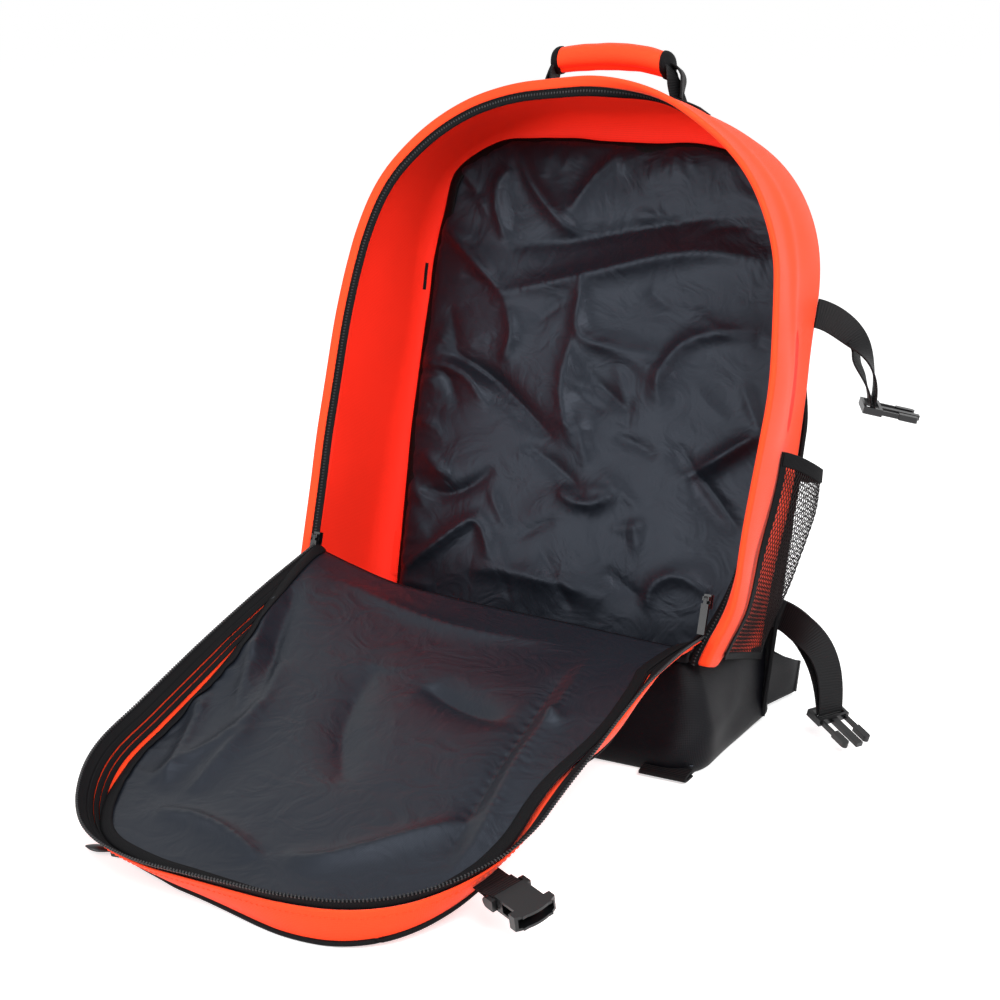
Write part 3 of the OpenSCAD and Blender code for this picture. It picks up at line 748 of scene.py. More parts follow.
def settle(obj: Piece, pinned: Array, swell: float, weight: float, frames: int, cap: float) -> Array:
    """Lets a sheet fall into wrinkles by cloth simulation and leaves the mesh at rest.

    Args:
        obj: The sheet.
        pinned: Which vertices stay where they are.
        swell: Share by which the cloth is longer than the space it fills.
        weight: Share of gravity that acts on it.
        frames: Length of the run.
        cap: Farthest that a point may move, in mm.

    Returns:
        The settled vertices in mm.
    """
    mesh = obj.data
    start = np.empty(len(mesh.vertices) * 3)
    mesh.vertices.foreach_get("co", start)
    start = start.reshape(-1, 3)
    held = obj.vertex_groups.new(name="held")
    held.add([int(i) for i in np.flatnonzero(pinned)], 1.0, "REPLACE")
    cloth = obj.modifiers.new("settle", "CLOTH")
    rule = cloth.settings
    rule.quality = 6
    rule.mass = 0.12
    rule.tension_stiffness = rule.compression_stiffness = 18.0
    rule.shear_stiffness = 6.0
    rule.bending_stiffness = 0.3
    rule.vertex_group_mass = held.name
    rule.shrink_min = -swell
    rule.effector_weights.gravity = weight
    cloth.collision_settings.use_collision = False
    cloth.point_cache.frame_start, cloth.point_cache.frame_end = 1, frames
    scene = bpy.context.scene
    for step in range(1, frames + 1):
        scene.frame_set(step)
    done = obj.evaluated_get(bpy.context.evaluated_depsgraph_get())
    flat = np.empty(len(mesh.vertices) * 3)
    done.data.vertices.foreach_get("co", flat)
    move = flat.reshape(-1, 3) - start
    far = np.linalg.norm(move, axis=1, keepdims=True)
    rest = start + move * np.minimum(1, cap * MM / np.maximum(far, 1e-9))
    obj.modifiers.remove(cloth)
    obj.vertex_groups.remove(held)
    scene.frame_set(1)
    mesh.vertices.foreach_set("co", rest.ravel())
    mesh.update()
    return rest / MM


@dataclass(frozen=True)
class Arch:
    """Outline of the bag: straight sides under a rounded top."""

    half: float = HALF_W
    corner: float = CORNER
    height: float = HEIGHT

    def stations(self, foot: float, step: float) -> tuple[Array, Array, Array]:
        """Places evenly along the outline, from the left foot over the top to the right foot.

        Args:
            foot: Height at which the outline starts and ends, in mm.
            step: Spacing in mm.

        Returns:
            Length along the outline, points (x, height) and outward directions.
        """
        cx, cz = self.half - self.corner, self.height - self.corner
        side, arc, top = cz - foot, math.pi / 2 * self.corner, 2 * cx
        whole = 2 * side + 2 * arc + top
        run = np.linspace(0, whole, int(whole / step) + 1)
        points, outward = [], []
        for d in run:
            if d < side:
                n, p = (-1, 0), (-self.half, foot + d)
            elif d < side + arc:
                a = (d - side) / self.corner
                n = (-math.cos(a), math.sin(a))
                p = (self.corner * n[0] - cx, self.corner * n[1] + cz)
            elif d < side + arc + top:
                n, p = (0, 1), (d - side - arc - cx, self.height)
            elif d < side + 2 * arc + top:
                a = (d - side - arc - top) / self.corner
                n = (math.sin(a), math.cos(a))
                p = (self.corner * n[0] + cx, self.corner * n[1] + cz)
            else:
                n, p = (1, 0), (self.half, cz - (d - side - 2 * arc - top))
            points.append(p)
            outward.append(n)
        return run, np.array(points), np.array(outward, float)


# Height of the soft fold line across the front, by x: the flap's weight drags it down on the right
RIDGE: Keys = ((-195, 135), (-188, 133), (-152, 123.6), (-104, 112.4), (-64, 109.8), (0, 106.5), (60, 104.6),
               (130, 101.5), (195, 99))


@dataclass
class Shell:
    """Orange wall of the bag with its half of the main zip."""

    arch: Arch = Arch()
    below: float = 8.0
    hem: float = 8.6
    tape: tuple[float, float] = (8.0, 16.6)
    teeth: float = 12.2
    # How far the limp front edge is drawn in, along the outline from the left foot
    pull: Keys = ((0, -2), (45, -3), (98, -4), (126, -5.5), (179, -5), (232, -5), (255, -3.5), (285, -1),
                  (312, 3.5), (340, 5), (369, 6), (402, 9), (450, 10), (510, 8), (600, -2.5), (640, 4),
                  (700, 11), (735, 10), (811, 3), (866, -6), (918, -12), (951, -15), (988, -13.5),
                  (1032, -11.5), (1069, -10), (1109, -11), (1138, -8), (1162, 6))
    # How far the zip's band rolls inward, in degrees, and the radius of the roll in mm
    roll: Keys = ((0, 0), (560, 4), (600, 20), (650, 80), (700, 90), (1050, 90), (1100, 60), (1140, 5),
                  (1162, 0))
    roll_r: float = 3.2
    # How far the wall turns in along the lining, and how deep the lining is sewn
    turn: Keys = ((0, 24), (50, 21), (152, 14), (246, 12), (327, 12.3), (360, 11.3), (376, 9), (398, 2.4),
                  (427, 3), (454, 4.3), (474, 11.8), (505, 18.6), (548, 23), (607, 23.6), (675, 17.8),
                  (760, 8), (1162, 6))
    seat: Keys = ((0, 126), (283, 126), (327, 121), (360, 113), (376, 107), (398, 102), (427, 108),
                  (454, 115), (474, 121), (505, 126), (1162, 126))
    # How far the empty right wall is drawn in near the back
    waist: Keys = ((740, 0), (790, 2), (850, 5), (905, 5), (940, 3), (1000, 2.5), (1032, 3), (1064, 6.5),
                   (1097, 9), (1162, 10))
    # Height and wavelength of the wall's unevenness
    bulge: tuple[float, float] = (1.5, 130.0)
    # Soft crest on the right shoulder: its height, half width, first depth, slope, start and end
    crest_high: float = 3.0
    crest_wide: float = 9.0
    crest_deep: float = 30.0
    crest_slope: float = 0.12
    crest_run: tuple[float, float] = (640.0, 1000.0)
    # How far the right end of the wall runs up towards the back, where the black foot covers it
    end_lift: float = 11.0

    def __post_init__(self) -> None:
        """Lays out the stations along the outline."""
        run, self.line, self.out = self.arch.stations(SEAM - self.below, STATION)
        self.run = run - self.below
        self.drawn = along_keys(self.pull, self.run)
        self.nipped = along_keys(self.waist, self.run)
        self.rolled = np.radians(along_keys(self.roll, self.run))
        self.turned = along_keys(self.turn, self.run, blur=9.0)
        self.seated = along_keys(self.seat, self.run, blur=9.0)

    def point(self, inset: Array | float, depth: Array | float) -> Array:
        """Points of the bag at an inset from its soft outline and a depth behind its front.

        Args:
            inset: Distance inside the outline, in mm.
            depth: Distance behind the front, in mm.

        Returns:
            Points of the leaning bag, in mm.
        """
        run = self.run
        depth = np.broadcast_to(np.asarray(depth, float), run.shape)
        middle = np.sin(math.pi * np.clip(depth / DEPTH, 0, 1))
        start, stop = self.crest_run
        beside = (depth - self.crest_deep - (run - start) * self.crest_slope) / self.crest_wide
        crest = np.exp(-(beside**2)) * ease((run - start) / 60) * ease((stop - run) / 120)
        high, long = self.bulge
        swell = high * middle * waves(run, depth, seed=5, size=long) + self.crest_high * crest * middle
        away = inset + self.drawn * (1 - ease(depth / LIMP_TO)) + self.nipped * ease(depth / NIP_TO) - swell
        flat = self.line - np.asarray(away)[:, None] * self.out
        flat[:, 1] += self.end_lift * ease((depth - 18) / 16) * ease((run - run[-1] + 14) / 14)
        return xyz(flat[:, 0], depth, flat[:, 1])

    def side_x(self, side: Side, y: Array, z: Array) -> Array:
        """Distance of the side wall from the middle of the bag at a depth and height, in mm.

        Args:
            side: Which side of the bag.
            y: Depth behind the front, in mm.
            z: Height along the bag, in mm.

        Returns:
            The distance at each place.
        """
        run = z - SEAM if side is Side.LEFT else self.run[-1] - self.below - (z - SEAM)
        drawn, nipped = np.interp(run, self.run, self.drawn), np.interp(run, self.run, self.nipped)
        return HALF_W - drawn * (1 - ease(y / LIMP_TO)) - nipped * ease(y / NIP_TO)

    def band(self, across: float, lift: float = 0.0) -> Array:
        """Points of the zip band, across mm from the edge and lift mm in front of it.

        Args:
            across: Distance from the edge.
            lift: Distance in front of the band.

        Returns:
            Points of the leaning bag, in mm.
        """
        c, s = np.cos(self.rolled), np.sin(self.rolled)
        edge = self.point(across * c + self.roll_r * (1 - c) + lift * s, 0.0)
        edge[:, 1] += across * s - lift * c
        return edge

    def facing(self, share: float) -> Array:
        """Points of the inner face where it bends in to the lining, share 0 to 1 of the way round.

        Args:
            share: Where on the bend, 0 at the wall and 1 at the lining.

        Returns:
            Points of the leaning bag, in mm.
        """
        a = share * math.pi / 2
        deep = np.minimum(26.0, self.turned + 10.0)
        inset = 1.2 + (self.turned + 0.8) * (1 - math.cos(a))
        return self.point(inset, self.seated - deep * (1 - math.sin(a)))

    def build(self) -> list[Piece]:
        """Makes the wall, its facing and its half of the zip.

        Returns:
            The pieces, tied to the shell.
        """
        rows = [self.band(self.hem, 0.2), self.band(self.hem * 0.55, 0.9), self.band(1.2, 1.3)]
        rows += [self.point(0, depth) for depth in (0.6, 4, 9, *range(16, 120, 8), 124, 127.5)]
        wall = layer("gusset_cloth", bag(np.stack(rows, 1)), ORANGE, thick=1.2, levels=1)
        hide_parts("gusset")
        stops = ((0.2, 22), (1.0, 32), (1.2, 46), (1.2, 60), (1.2, 72))
        curve = [self.point(inset, depth) for inset, depth in stops]
        curve += [self.facing(share) for share in np.linspace(0, 1, 9)]
        # The inner face takes the redder finish, whose colour is painted bounce light from the walls.
        facing = layer("gusset_facing", bag(np.stack(curve, 1)), PAINTED_BOUNCE, thick=0.8, levels=1)
        near, far = self.tape
        both = [self.band(near, 0.4), self.band((near + far) / 2, 0.9), self.band(far, 0.5)]
        tape = layer("zip_shell_tape", bag(np.stack(both, 1)), BINDING, thick=0.7, levels=1)
        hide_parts("zip_tape_shell")
        mid, over = bag(self.band(self.teeth, 0.4)), bag(self.band(self.teeth + 1, 0.4))
        coil = beads("zip_shell_coil", mid, over - mid, pitch=2.6, size=(1.7, 3.2, 2.2), finish=COIL)
        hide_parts("zip_teeth_shell")
        line = bag(self.band(near + 1.1, 1.2))
        sewn = beads("zip_shell_stitches", line, over - mid, pitch=4.2, size=(2.8, 0.6, 0.5), finish=BINDING)
        made = [wall, facing, tape, coil, sewn, *self.tabs()]
        for piece in made:
            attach(piece, "shell")
        return made

    def tabs(self) -> list[Piece]:
        """Makes the small bound slit and the folded tab on the inner left wall.

        Returns:
            The slit and the tab.
        """
        # The tab takes the same redder finish, whose colour is painted bounce light from the walls.
        stops = ((281.0, 308.0, 0.62, 3.0, "wall_slit", BINDING),
                 (14.0, 58.0, 0.84, 7.0, "wall_tab", PAINTED_BOUNCE))
        made = []
        for low, high, share, wide, name, finish in stops:
            part = (self.run >= low) & (self.run <= high)
            path = smooth_path(bag(self.facing(share))[part], 16)
            side = smooth_path(bag(self.facing(share + 0.1))[part], 16) - path
            out = unit(np.cross(directions(path), side))
            out = out * np.sign(out[:, :1])
            made.append(ribbon(name, path + 0.9 * out, side, width=wide, thick=0.9, finish=finish))
        return made


# Folds of the back lining seen in the light: a line on the cloth (x, height), a height and a half width,
# all in mm
BACK_FOLDS: tuple[Fold, ...] = (
    (((-166, 436), (-125, 404), (-97, 377)), 6, 9),
    (((-106, 381), (-20, 404), (79, 434), (144, 428)), 7.5, 14),
    (((-105, 426), (-40, 436), (47, 458), (128, 469)), -5, 13),
    (((-21, 404), (-26, 354), (2, 343), (55, 341)), 5, 9),
    (((-103, 514), (-84, 478), (-40, 441)), 6.5, 9),
    (((-6, 518), (-30, 487), (-47, 459)), 5, 9),
    (((-110, 497), (-121, 472), (-106, 431)), 4.5, 8),
    (((62, 300), (64, 332), (87, 360), (146, 368)), 6, 11),
    (((-172, 314), (-132, 311), (-104, 283)), 5, 8),
    (((-163, 329), (-109, 310), (-32, 257)), -6.5, 10),
    (((-96, 372), (-84, 346), (-95, 321)), 4, 9),
    (((-25, 351), (-31, 297), (-9, 253)), 4.5, 11),
    (((157, 278), (124, 255), (93, 236)), 5, 8),
    (((-164, 121), (-132, 150), (-106, 174), (-94, 178), (-83, 164), (-75, 143)), 5, 8),
    (((-59, 248), (-22, 231), (8, 209)), -5, 9),
    (((-18, 212), (12, 202), (35, 214)), 5, 8),
    (((85, 266), (106, 244), (151, 200)), -5, 8),
    (((121, 248), (139, 265), (158, 281)), 4, 8),
    (((-96, 134), (-40, 135), (9, 131), (39, 121)), 5, 16),
    (((81, 123), (82, 144), (107, 158), (138, 144)), 4.5, 11),
    (((-170, 204), (-138, 192), (-109, 205), (-89, 223)), -4.5, 9),
    (((-161, 231), (-129, 211)), 4, 7),
)


@dataclass
class BackLining:
    """Charcoal lining of the back, wrinkled by its gathered seam, with its binding tape."""

    shell: Shell
    step: float = 3.6
    gathers: int = 40
    crumples: int = 38
    sharp: float = 2.0
    slim: float = 0.8

    def pucker(self, cloth: Spread) -> None:
        """Presses the short gathers of the drawn seam along the left and the top of the cloth.

        Args:
            cloth: The lining before it settles.
        """
        rng = np.random.default_rng(17)
        for i in range(self.gathers):
            if i % 3:
                start = np.array([-172.0, rng.uniform(110, 340)])
                end = start + [rng.uniform(18, 42), rng.uniform(-18, 12)]
            else:
                start = np.array([rng.uniform(-110, 70), 520.0])
                end = start + [rng.uniform(-10, 14), -rng.uniform(16, 34)]
            bow = (start + end) / 2 + [0, 3]
            cloth.crease((start, bow, end), rng.uniform(1.6, 3.2), rng.uniform(3.6, 5.5))

    def crumple(self, cloth: Spread) -> None:
        """Presses short slanting creases into the middle of the cloth, more of them to the left.

        Args:
            cloth: The lining before it settles.
        """
        rng = np.random.default_rng(29)
        for i in range(self.crumples):
            middle = np.array([150 - 310 * rng.uniform() ** 0.7, rng.uniform(125, 480)])
            lean = rng.normal(-0.55, 0.5)
            half = rng.uniform(13, 34) * np.array([math.cos(lean), math.sin(lean)])
            bow = middle + [0, rng.uniform(-7, 7)]
            high = (-1) ** i * rng.uniform(2.4, 4.6)
            cloth.crease((middle - half, bow, middle + half), high, rng.uniform(3.8, 6.4))

    def build(self) -> list[Piece]:
        """Makes the lining by cloth simulation, then tapes its edge.

        Returns:
            The lining and its tape, tied to the shell.
        """
        shell = self.shell
        inset = shell.turned + 2
        edge = shell.point(inset, shell.seated)[:, [0, 2]]
        foot = np.array([[HALF_W - 10, 70], [HALF_W - 12, 46], [-HALF_W + 12, 46], [-HALF_W + 10, 70]])
        outline = np.concatenate([edge, foot])
        levels = np.concatenate([shell.seated - 1, np.full(len(foot), 125.0)])
        cloth = Spread(outline, levels, self.step)
        cloth.height *= -1
        for line, high, wide in BACK_FOLDS:
            cloth.crease(line, high * self.sharp, wide * self.slim)
        self.pucker(cloth)
        self.crumple(cloth)
        cloth.height *= -1
        rough = waves(cloth.verts[:, 0], cloth.verts[:, 1], seed=11, size=70)
        cloth.height -= np.where(cloth.rim, 0, 3.0 + 1.2 * rough)
        world = bag(xyz(cloth.verts[:, 0], cloth.height, cloth.verts[:, 1]))
        sheet = make("back_lining_cloth", world, cloth.faces, LINING, cloth.verts * MM)
        settle(sheet, cloth.rim, swell=0.06, weight=0.4, frames=36, cap=11.0)
        thicken(sheet, thick=0.5, levels=1)
        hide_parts("back_lining")
        across = ((-1.5, 1.4), (4.5, 3.4), (9.0, 2.4))
        rows = [shell.point(inset + a, shell.seated - b) for a, b in across]
        tape = layer("back_lining_tape", bag(np.stack(rows, 1)), BINDING, thick=0.9, levels=1)
        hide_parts("lining_binding")
        for piece in (sheet, tape):
            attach(piece, "shell")
        return [sheet, tape]


# Where the flap's panel starts, from the fold, and how steeply its CAD form rises, in mm
FLAP_START = 2.35
FLAP_RISE = 35 / 217.65

# Folds of the flap's lining: a line on the cloth (x, length from the fold), a height and a half width, in mm
FLAP_FOLDS: tuple[Fold, ...] = (
    (((117, 66), (132, 159), (131, 224), (144, 294), (141, 331)), 5, 8),
    (((108, 101), (112, 163), (119, 246), (130, 313)), -5, 8),
    (((126, 158), (132, 165), (140, 171)), 4, 6),
    (((-174, 64), (-145, 147), (-110, 224)), 5, 8),
    (((-160, 64), (-132, 140), (-96, 210)), -3.5, 7),
    (((-124, 318), (-85, 236), (-117, 152)), 5, 13),
    (((-94, 346), (-61, 344), (-16, 356), (10, 368)), 5, 9),
    (((28, 362), (54, 357), (73, 341), (103, 309), (132, 277)), 5, 10),
    (((-42, 129), (-32, 197), (18, 272)), -5, 20),
    (((12, 143), (68, 162), (94, 170)), -6, 14),
    (((-152, 204), (-128, 262), (-109, 316)), 4.5, 8),
    (((-85, 240), (-85, 274), (-83, 320)), 3.5, 9),
    (((-129, 34), (-13, 66), (79, 52)), 4, 14),
)


@dataclass
class Cover:
    """The open flap: orange panel and wall, its half of the zip, and the slack lining inside."""

    arch: Arch = Arch()
    deep: float = 36.0
    step: float = 3.6
    sharp: float = 1.9
    slim: float = 0.8
    # How far the zip lies inside the flap's outline and sinks below its flat place, along the outline from
    # the left
    edge: Keys = ((0, 13.2), (360, 13.2), (394, 9.5), (430, 8), (458, 12), (480, 13.2), (850, 13.2), (900, 7),
                  (950, 5), (1000, 5), (1050, 9), (1102, 13.2))
    slump: Keys = ((0, -8), (76, -8), (127, -6), (175, -3.3), (222, 0.8), (267, 5.2), (320, 4.5), (360, 3),
                   (390, 5), (458, 8), (547, 4.5), (614, 1.5), (657, 4.7), (698, 7), (766, 6.9), (800, 5.5),
                   (845, 2), (898, -8), (933, -13), (983, -14), (1034, -4), (1075, 8), (1102, 18))
    # How far the foot of the slack wall lies inside the outline
    tuck: Keys = ((0, 22), (60, 34), (200, 40), (320, 40), (380, 35), (429, 31), (475, 36), (521, 31),
                  (556, 25), (589, 18.5), (621, 14), (648, 11), (672, 11), (697, 14), (732, 24), (778, 36),
                  (840, 44), (882, 42), (928, 20), (1000, 19), (1050, 26), (1102, 20))
    # Where the right wall stands out beside the zip, 0 to 1
    flare: Keys = ((0, 0), (880, 0), (922, 1), (1030, 1), (1075, 0), (1102, 0))
    # How far down the wall the lining is sewn
    sewn: Keys = ((0, 6), (60, 19), (140, 24), (190, 27), (330, 27.5), (380, 22), (430, 15), (520, 13),
                  (640, 12), (740, 14), (780, 18), (860, 18), (900, 12), (980, 12), (1030, 16), (1070, 10),
                  (1102, 4))
    # Gathers along the left seam of the lining
    gathers: int = 16
    # How fast the panel deepens along the flap
    slope: float = 0.1608
    # Length of the flap's panel in metres, and the stretch of cloth that bends over the fold in mm
    panel_l: float = 0.405
    bends: tuple[float, float] = (2.0, 70.0)
    # Tapes inside the left wall: first station, last place along the outline, distances from the zip
    tapes: tuple[int, float] = (8, 470.0)
    bands: tuple[tuple[str, float, float], ...] = (("a", 8.2, 13.2), ("b", 14.2, 18.4), ("c", 19.2, 23.2))
    # Height of the wall at the fold, and the length over which it grows to its full height
    shallow: float = 4.0
    grow: float = 230.0

    def __post_init__(self) -> None:
        """Lays out the stations, the zip's line and the foot of the wall."""
        self.run, line, self.out = self.arch.stations(FOLD, STATION)
        self.line = line - [0, FOLD]
        self.tall = self.shallow + (self.deep - self.shallow) * ease(self.line[:, 1] / self.grow)
        sink, inset = along_keys(self.slump, self.run), along_keys(self.edge, self.run)
        self.rim = np.concatenate([self.line - inset[:, None] * self.out, sink[:, None]], 1)
        side = np.minimum(along_keys(self.tuck, self.run) - inset, 0.9 * self.tall)
        low = np.minimum(sink + np.sqrt(self.tall**2 - side**2), self.deep + 0.5)
        self.foot = np.concatenate([self.line - (inset + side)[:, None] * self.out, low[:, None]], 1)
        self.down = unit(self.foot - self.rim)
        normal = unit(np.cross(self.down, directions(self.rim)))
        facing = (normal * np.concatenate([-self.out, -np.ones((len(self.run), 1))], 1)).sum(1)
        self.inner = normal * np.sign(facing)[:, None]
        self.room = np.linalg.norm(self.foot - self.rim, axis=1)

    def wall(self, far: Array | float, lift: float = 0.0) -> Array:
        """Points of the wall, far mm down from the zip and lift mm inside it."""
        far = np.broadcast_to(np.asarray(far, float), self.run.shape)
        return self.rim + self.down * far[:, None] + self.inner * lift

    def strip(self, name: str, near: float, far: float, part: slice) -> Piece:
        """Makes a tape that lies on the inside of the wall between two distances from the zip.

        Args:
            name: Name of the piece.
            near: First distance from the zip, in mm.
            far: Last distance from the zip, in mm.
            part: Stations that it spans.

        Returns:
            The tape.
        """
        limit = self.room - 1.0
        lifts = (0.2, 0.4, 1.0) if near < 1 else (1.0, 1.0, 1.0)
        stops = zip((near, (near + far) / 2, far), lifts)
        rows = [self.wall(np.minimum(down, limit), up)[part] for down, up in stops]
        return layer(name, flap(np.stack(rows, 1)), BINDING, thick=0.7, levels=1)

    def bend(self, pieces: Sequence[Piece]) -> None:
        """Bakes each of the flap's cloth pieces into the shared frame.

        Args:
            pieces: The flap's cloth pieces.
        """
        for piece in pieces:
            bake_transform(piece)

    def root(self, x: Array, ahead: float, drop: float) -> Array:
        """Points of the soft fold line in the flap's frame, moved ahead of the front and down by mm."""
        return to_flap(bag(xyz(x, -ahead, along_keys(RIDGE, x) - drop)))

    def panel(self, cloth: Spread, lining: Array) -> Piece:
        """Makes the orange outer face between the feet of the walls, below the lining.

        Args:
            cloth: The net of the lining.
            lining: Its settled points in the flap's frame.

        Returns:
            The panel.
        """
        half = int(np.searchsorted(self.line[:, 0], -(HALF_W - CORNER)))
        left, right = self.foot[: half + 1], self.foot[::-1][: half + 1]
        t = np.linspace(0, 1, 41)[None, :, None]
        pts = left[:, None] * (1 - t) + right[:, None] * t
        plane = np.clip(1 + self.slope * (pts[..., 1] - FLAP_START), 0, self.deep)
        middle = np.sin(math.pi * t[..., 0])
        pts[..., 2] += np.maximum(plane - pts[..., 2], 0) * middle**0.5
        pts[..., 2] += 0.8 * waves(pts[..., 0], pts[..., 1], seed=21, size=150) * middle
        start = self.root(pts[..., 0], 3.5, 2.0)[..., 1]
        pts[..., 1] += np.maximum(start, 0) * (1 - ease(pts[..., 1] / 80))
        under = cloth.at(pts[..., :2].reshape(-1, 2), lining[:, 2]).reshape(pts.shape[:2])
        clear = np.maximum(pts[..., 2], under + 3.4)
        pts[..., 2] = np.where(middle**0.3 > 0.2, clear, pts[..., 2])
        world = above_ground(flap(pts), low=1.4)
        face = layer("flap_face", world, ORANGE, thick=1.2)
        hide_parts("front_panel")
        return face

    def lining(self) -> list[Piece]:
        """Makes the slack lining by cloth simulation, tapes its edge and lays the panel below it.

        Returns:
            The lining, its tape and the panel.
        """
        sewn = np.minimum(along_keys(self.sewn, self.run), self.room - 1.5)
        edge = self.wall(sewn, 1.0)
        ends = np.linspace(edge[-1, 0], edge[0, 0], 60)[1:-1]
        rim = np.concatenate([edge, self.root(ends, 1.0, 0.0)])
        cloth = Spread(rim[:, :2], rim[:, 2], self.step)
        for line, high, wide in FLAP_FOLDS:
            cloth.crease(line, -high * self.sharp, wide * self.slim)
        rng = np.random.default_rng(23)
        for _ in range(self.gathers):
            start = np.array([-168.0, rng.uniform(150, 330)])
            end = start + [rng.uniform(20, 44), rng.uniform(-16, 22)]
            cloth.crease((start, (start + end) / 2, end), -rng.uniform(1.5, 3), rng.uniform(3.6, 5.5))
        world = flap(np.concatenate([cloth.verts, cloth.height[:, None]], 1))
        sheet = make("flap_lining_cloth", world, cloth.faces, LINING, cloth.verts * MM)
        rest = settle(sheet, cloth.rim, swell=0.045, weight=0.5, frames=30, cap=9.0)
        local = to_flap(rest)
        local[:, 2] = np.minimum(local[:, 2], self.deep - 4)
        final = above_ground(flap(local), low=5.5)
        local = to_flap(final)
        sheet.data.vertices.foreach_set("co", (final * MM).ravel())
        thicken(sheet, thick=0.5, levels=1)
        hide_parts("flap_lining")
        in_xy = edge[:, :2] - 9.0 * self.out
        inner = np.concatenate([in_xy, (cloth.at(in_xy, local[:, 2]) - 1.6)[:, None]], 1)
        middle = (edge + inner) / 2 - np.array([0, 0, 1.4])
        rows = np.stack([edge - [0, 0, 0.8], middle, inner], 1)
        tape = layer("flap_lining_tape", flap(rows), BINDING, thick=0.9, levels=1)
        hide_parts("flap_binding")
        return [sheet, tape, self.panel(cloth, local)]

    def build(self) -> list[Piece]:
        """Makes the flap's cloth pieces.

        Returns:
            The pieces, baked into the shared frame.
        """
        flare = along_keys(self.flare, self.run)[:, None]
        top = np.minimum((6.4 - 4.2 * flare) / self.room[:, None], 0.5)
        shares = [top + (1 - top) * t for t in np.linspace(0, 1, 7)]
        swell = 1.8 + 1.4 * flare
        rows = [self.rim * (1 - t) + self.foot * t - self.inner * (swell * np.sin(math.pi * t))
                for t in shares]
        wall = layer("flap_wall", above_ground(flap(np.stack(rows, 1)), low=1.2), ORANGE, thick=1.0, levels=1)
        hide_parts("flap_strip")
        part = slice(self.tapes[0], int(np.searchsorted(self.run, self.tapes[1])))
        strips = [self.strip("zip_flap_tape", 0.0, 8.6, slice(None))]
        strips += [self.strip(f"wall_tape_{word}", near, far, part) for word, near, far in self.bands]
        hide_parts("zip_tape_flap")
        mid = flap(self.wall(0.0, 0.2))
        coil = beads("zip_flap_coil", mid, flap(self.wall(1.0, 0.2)) - mid,
                     pitch=2.6, size=(1.7, 3.2, 2.4), finish=COIL)
        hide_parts("zip_teeth_flap")
        half_way = np.minimum(self.room * 0.5, 12.5)
        line = above_ground(flap(self.wall(half_way, -2.2)), low=1.2)
        sewn = beads("flap_wall_stitches", line, flap_way(self.down),
                     pitch=4.6, size=(3.0, 0.8, 0.7), finish=ORANGE)
        low = flap(self.foot + np.concatenate([self.out * 1.2, np.zeros((len(self.run), 1))], 1))
        far = self.line[:, 1] > 60
        cord = tube("flap_cord", resample(above_ground(low, low=2.2)[far], 5.0),
                    radius=2.0, finish=BINDING, sides=8)
        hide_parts("flap_piping")
        made = [wall, *strips, coil, sewn, cord, *self.lining()]
        self.bend(made)
        return made


@dataclass
class FrontPocket:
    """Pocket on the outside of the flap, with its zip."""

    half: float = 118.0
    foot: float = 230.0
    zip_at: float = 368.0
    zip_half: float = 102.0
    face: float = 36.6
    # The pull's teardrop: its way from the pull's end in mm, and how flat it is
    tab_way: tuple[float, float, float] = (-25.0, -3.5, 0.8)
    tab_flat: float = 0.45

    def build(self) -> list[Piece]:
        """Makes the pocket's cloth, its binding and its zip.

        Returns:
            The pocket's pieces, tied to flap and pull.
        """
        x, s = np.meshgrid(np.linspace(-1, 1, 48), np.linspace(0, 1, 28), indexing="ij")
        puff = (1 - x**2) * np.sin(math.pi * np.clip(s, 0, 1)) * 0.6 + 1.2
        wide = self.half - 14 * ease((s - 0.75) / 0.25)
        tall = self.zip_at - 6 - self.foot
        pts = xyz(x * wide, self.foot + s * tall, self.face + puff)
        cloth = layer("pocket_cloth", above_ground(flap(pts), low=0.8), ORANGE, thick=0.9)
        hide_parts("front_pocket")
        u = np.linspace(-1, 1, 60) * self.zip_half
        across = ((-6, 1.4), (-2, 1.9), (2, 1.9), (6, 1.4))
        rows = [xyz(u, self.zip_at + d, self.face + up) for d, up in across]
        tape = layer("pocket_zip_tape", above_ground(flap(np.stack(rows, 1)), low=0.7), BINDING, thick=0.7)
        line = xyz(u, self.zip_at, self.face + 2.0)
        coil = beads("pocket_zip_coil", above_ground(flap(line), low=0.9), (0, 1, 0),
                     pitch=2.2, size=(1.5, 4.2, 1.4), finish=COIL)
        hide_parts("pocket_zip")
        made = [cloth, tape, coil]
        for piece in made:
            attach(piece, "flap")
        return [*made, self.tab()]

    def tab(self) -> Piece:
        """Makes the flat plastic teardrop at the end of the pocket's pull.

        Returns:
            The teardrop, tied to the pull.
        """
        lo, hi = node_box("pocket_pull")
        start = np.array([lo[0] + 3.0, (lo[1] + hi[1]) / 2, (lo[2] + hi[2]) / 2])
        t = np.linspace(0, 1, 16)
        path = start + t[:, None] * np.array(self.tab_way)
        piece = tube("pocket_pull_tab", path, 1.0 + 3.6 * np.sin(math.pi * t**1.4), ACETAL, 14)
        level = start[2] * MM
        for vert in piece.data.vertices:
            vert.co.z = level + (vert.co.z - level) * self.tab_flat
        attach(piece, "pocket_pull")
        return piece


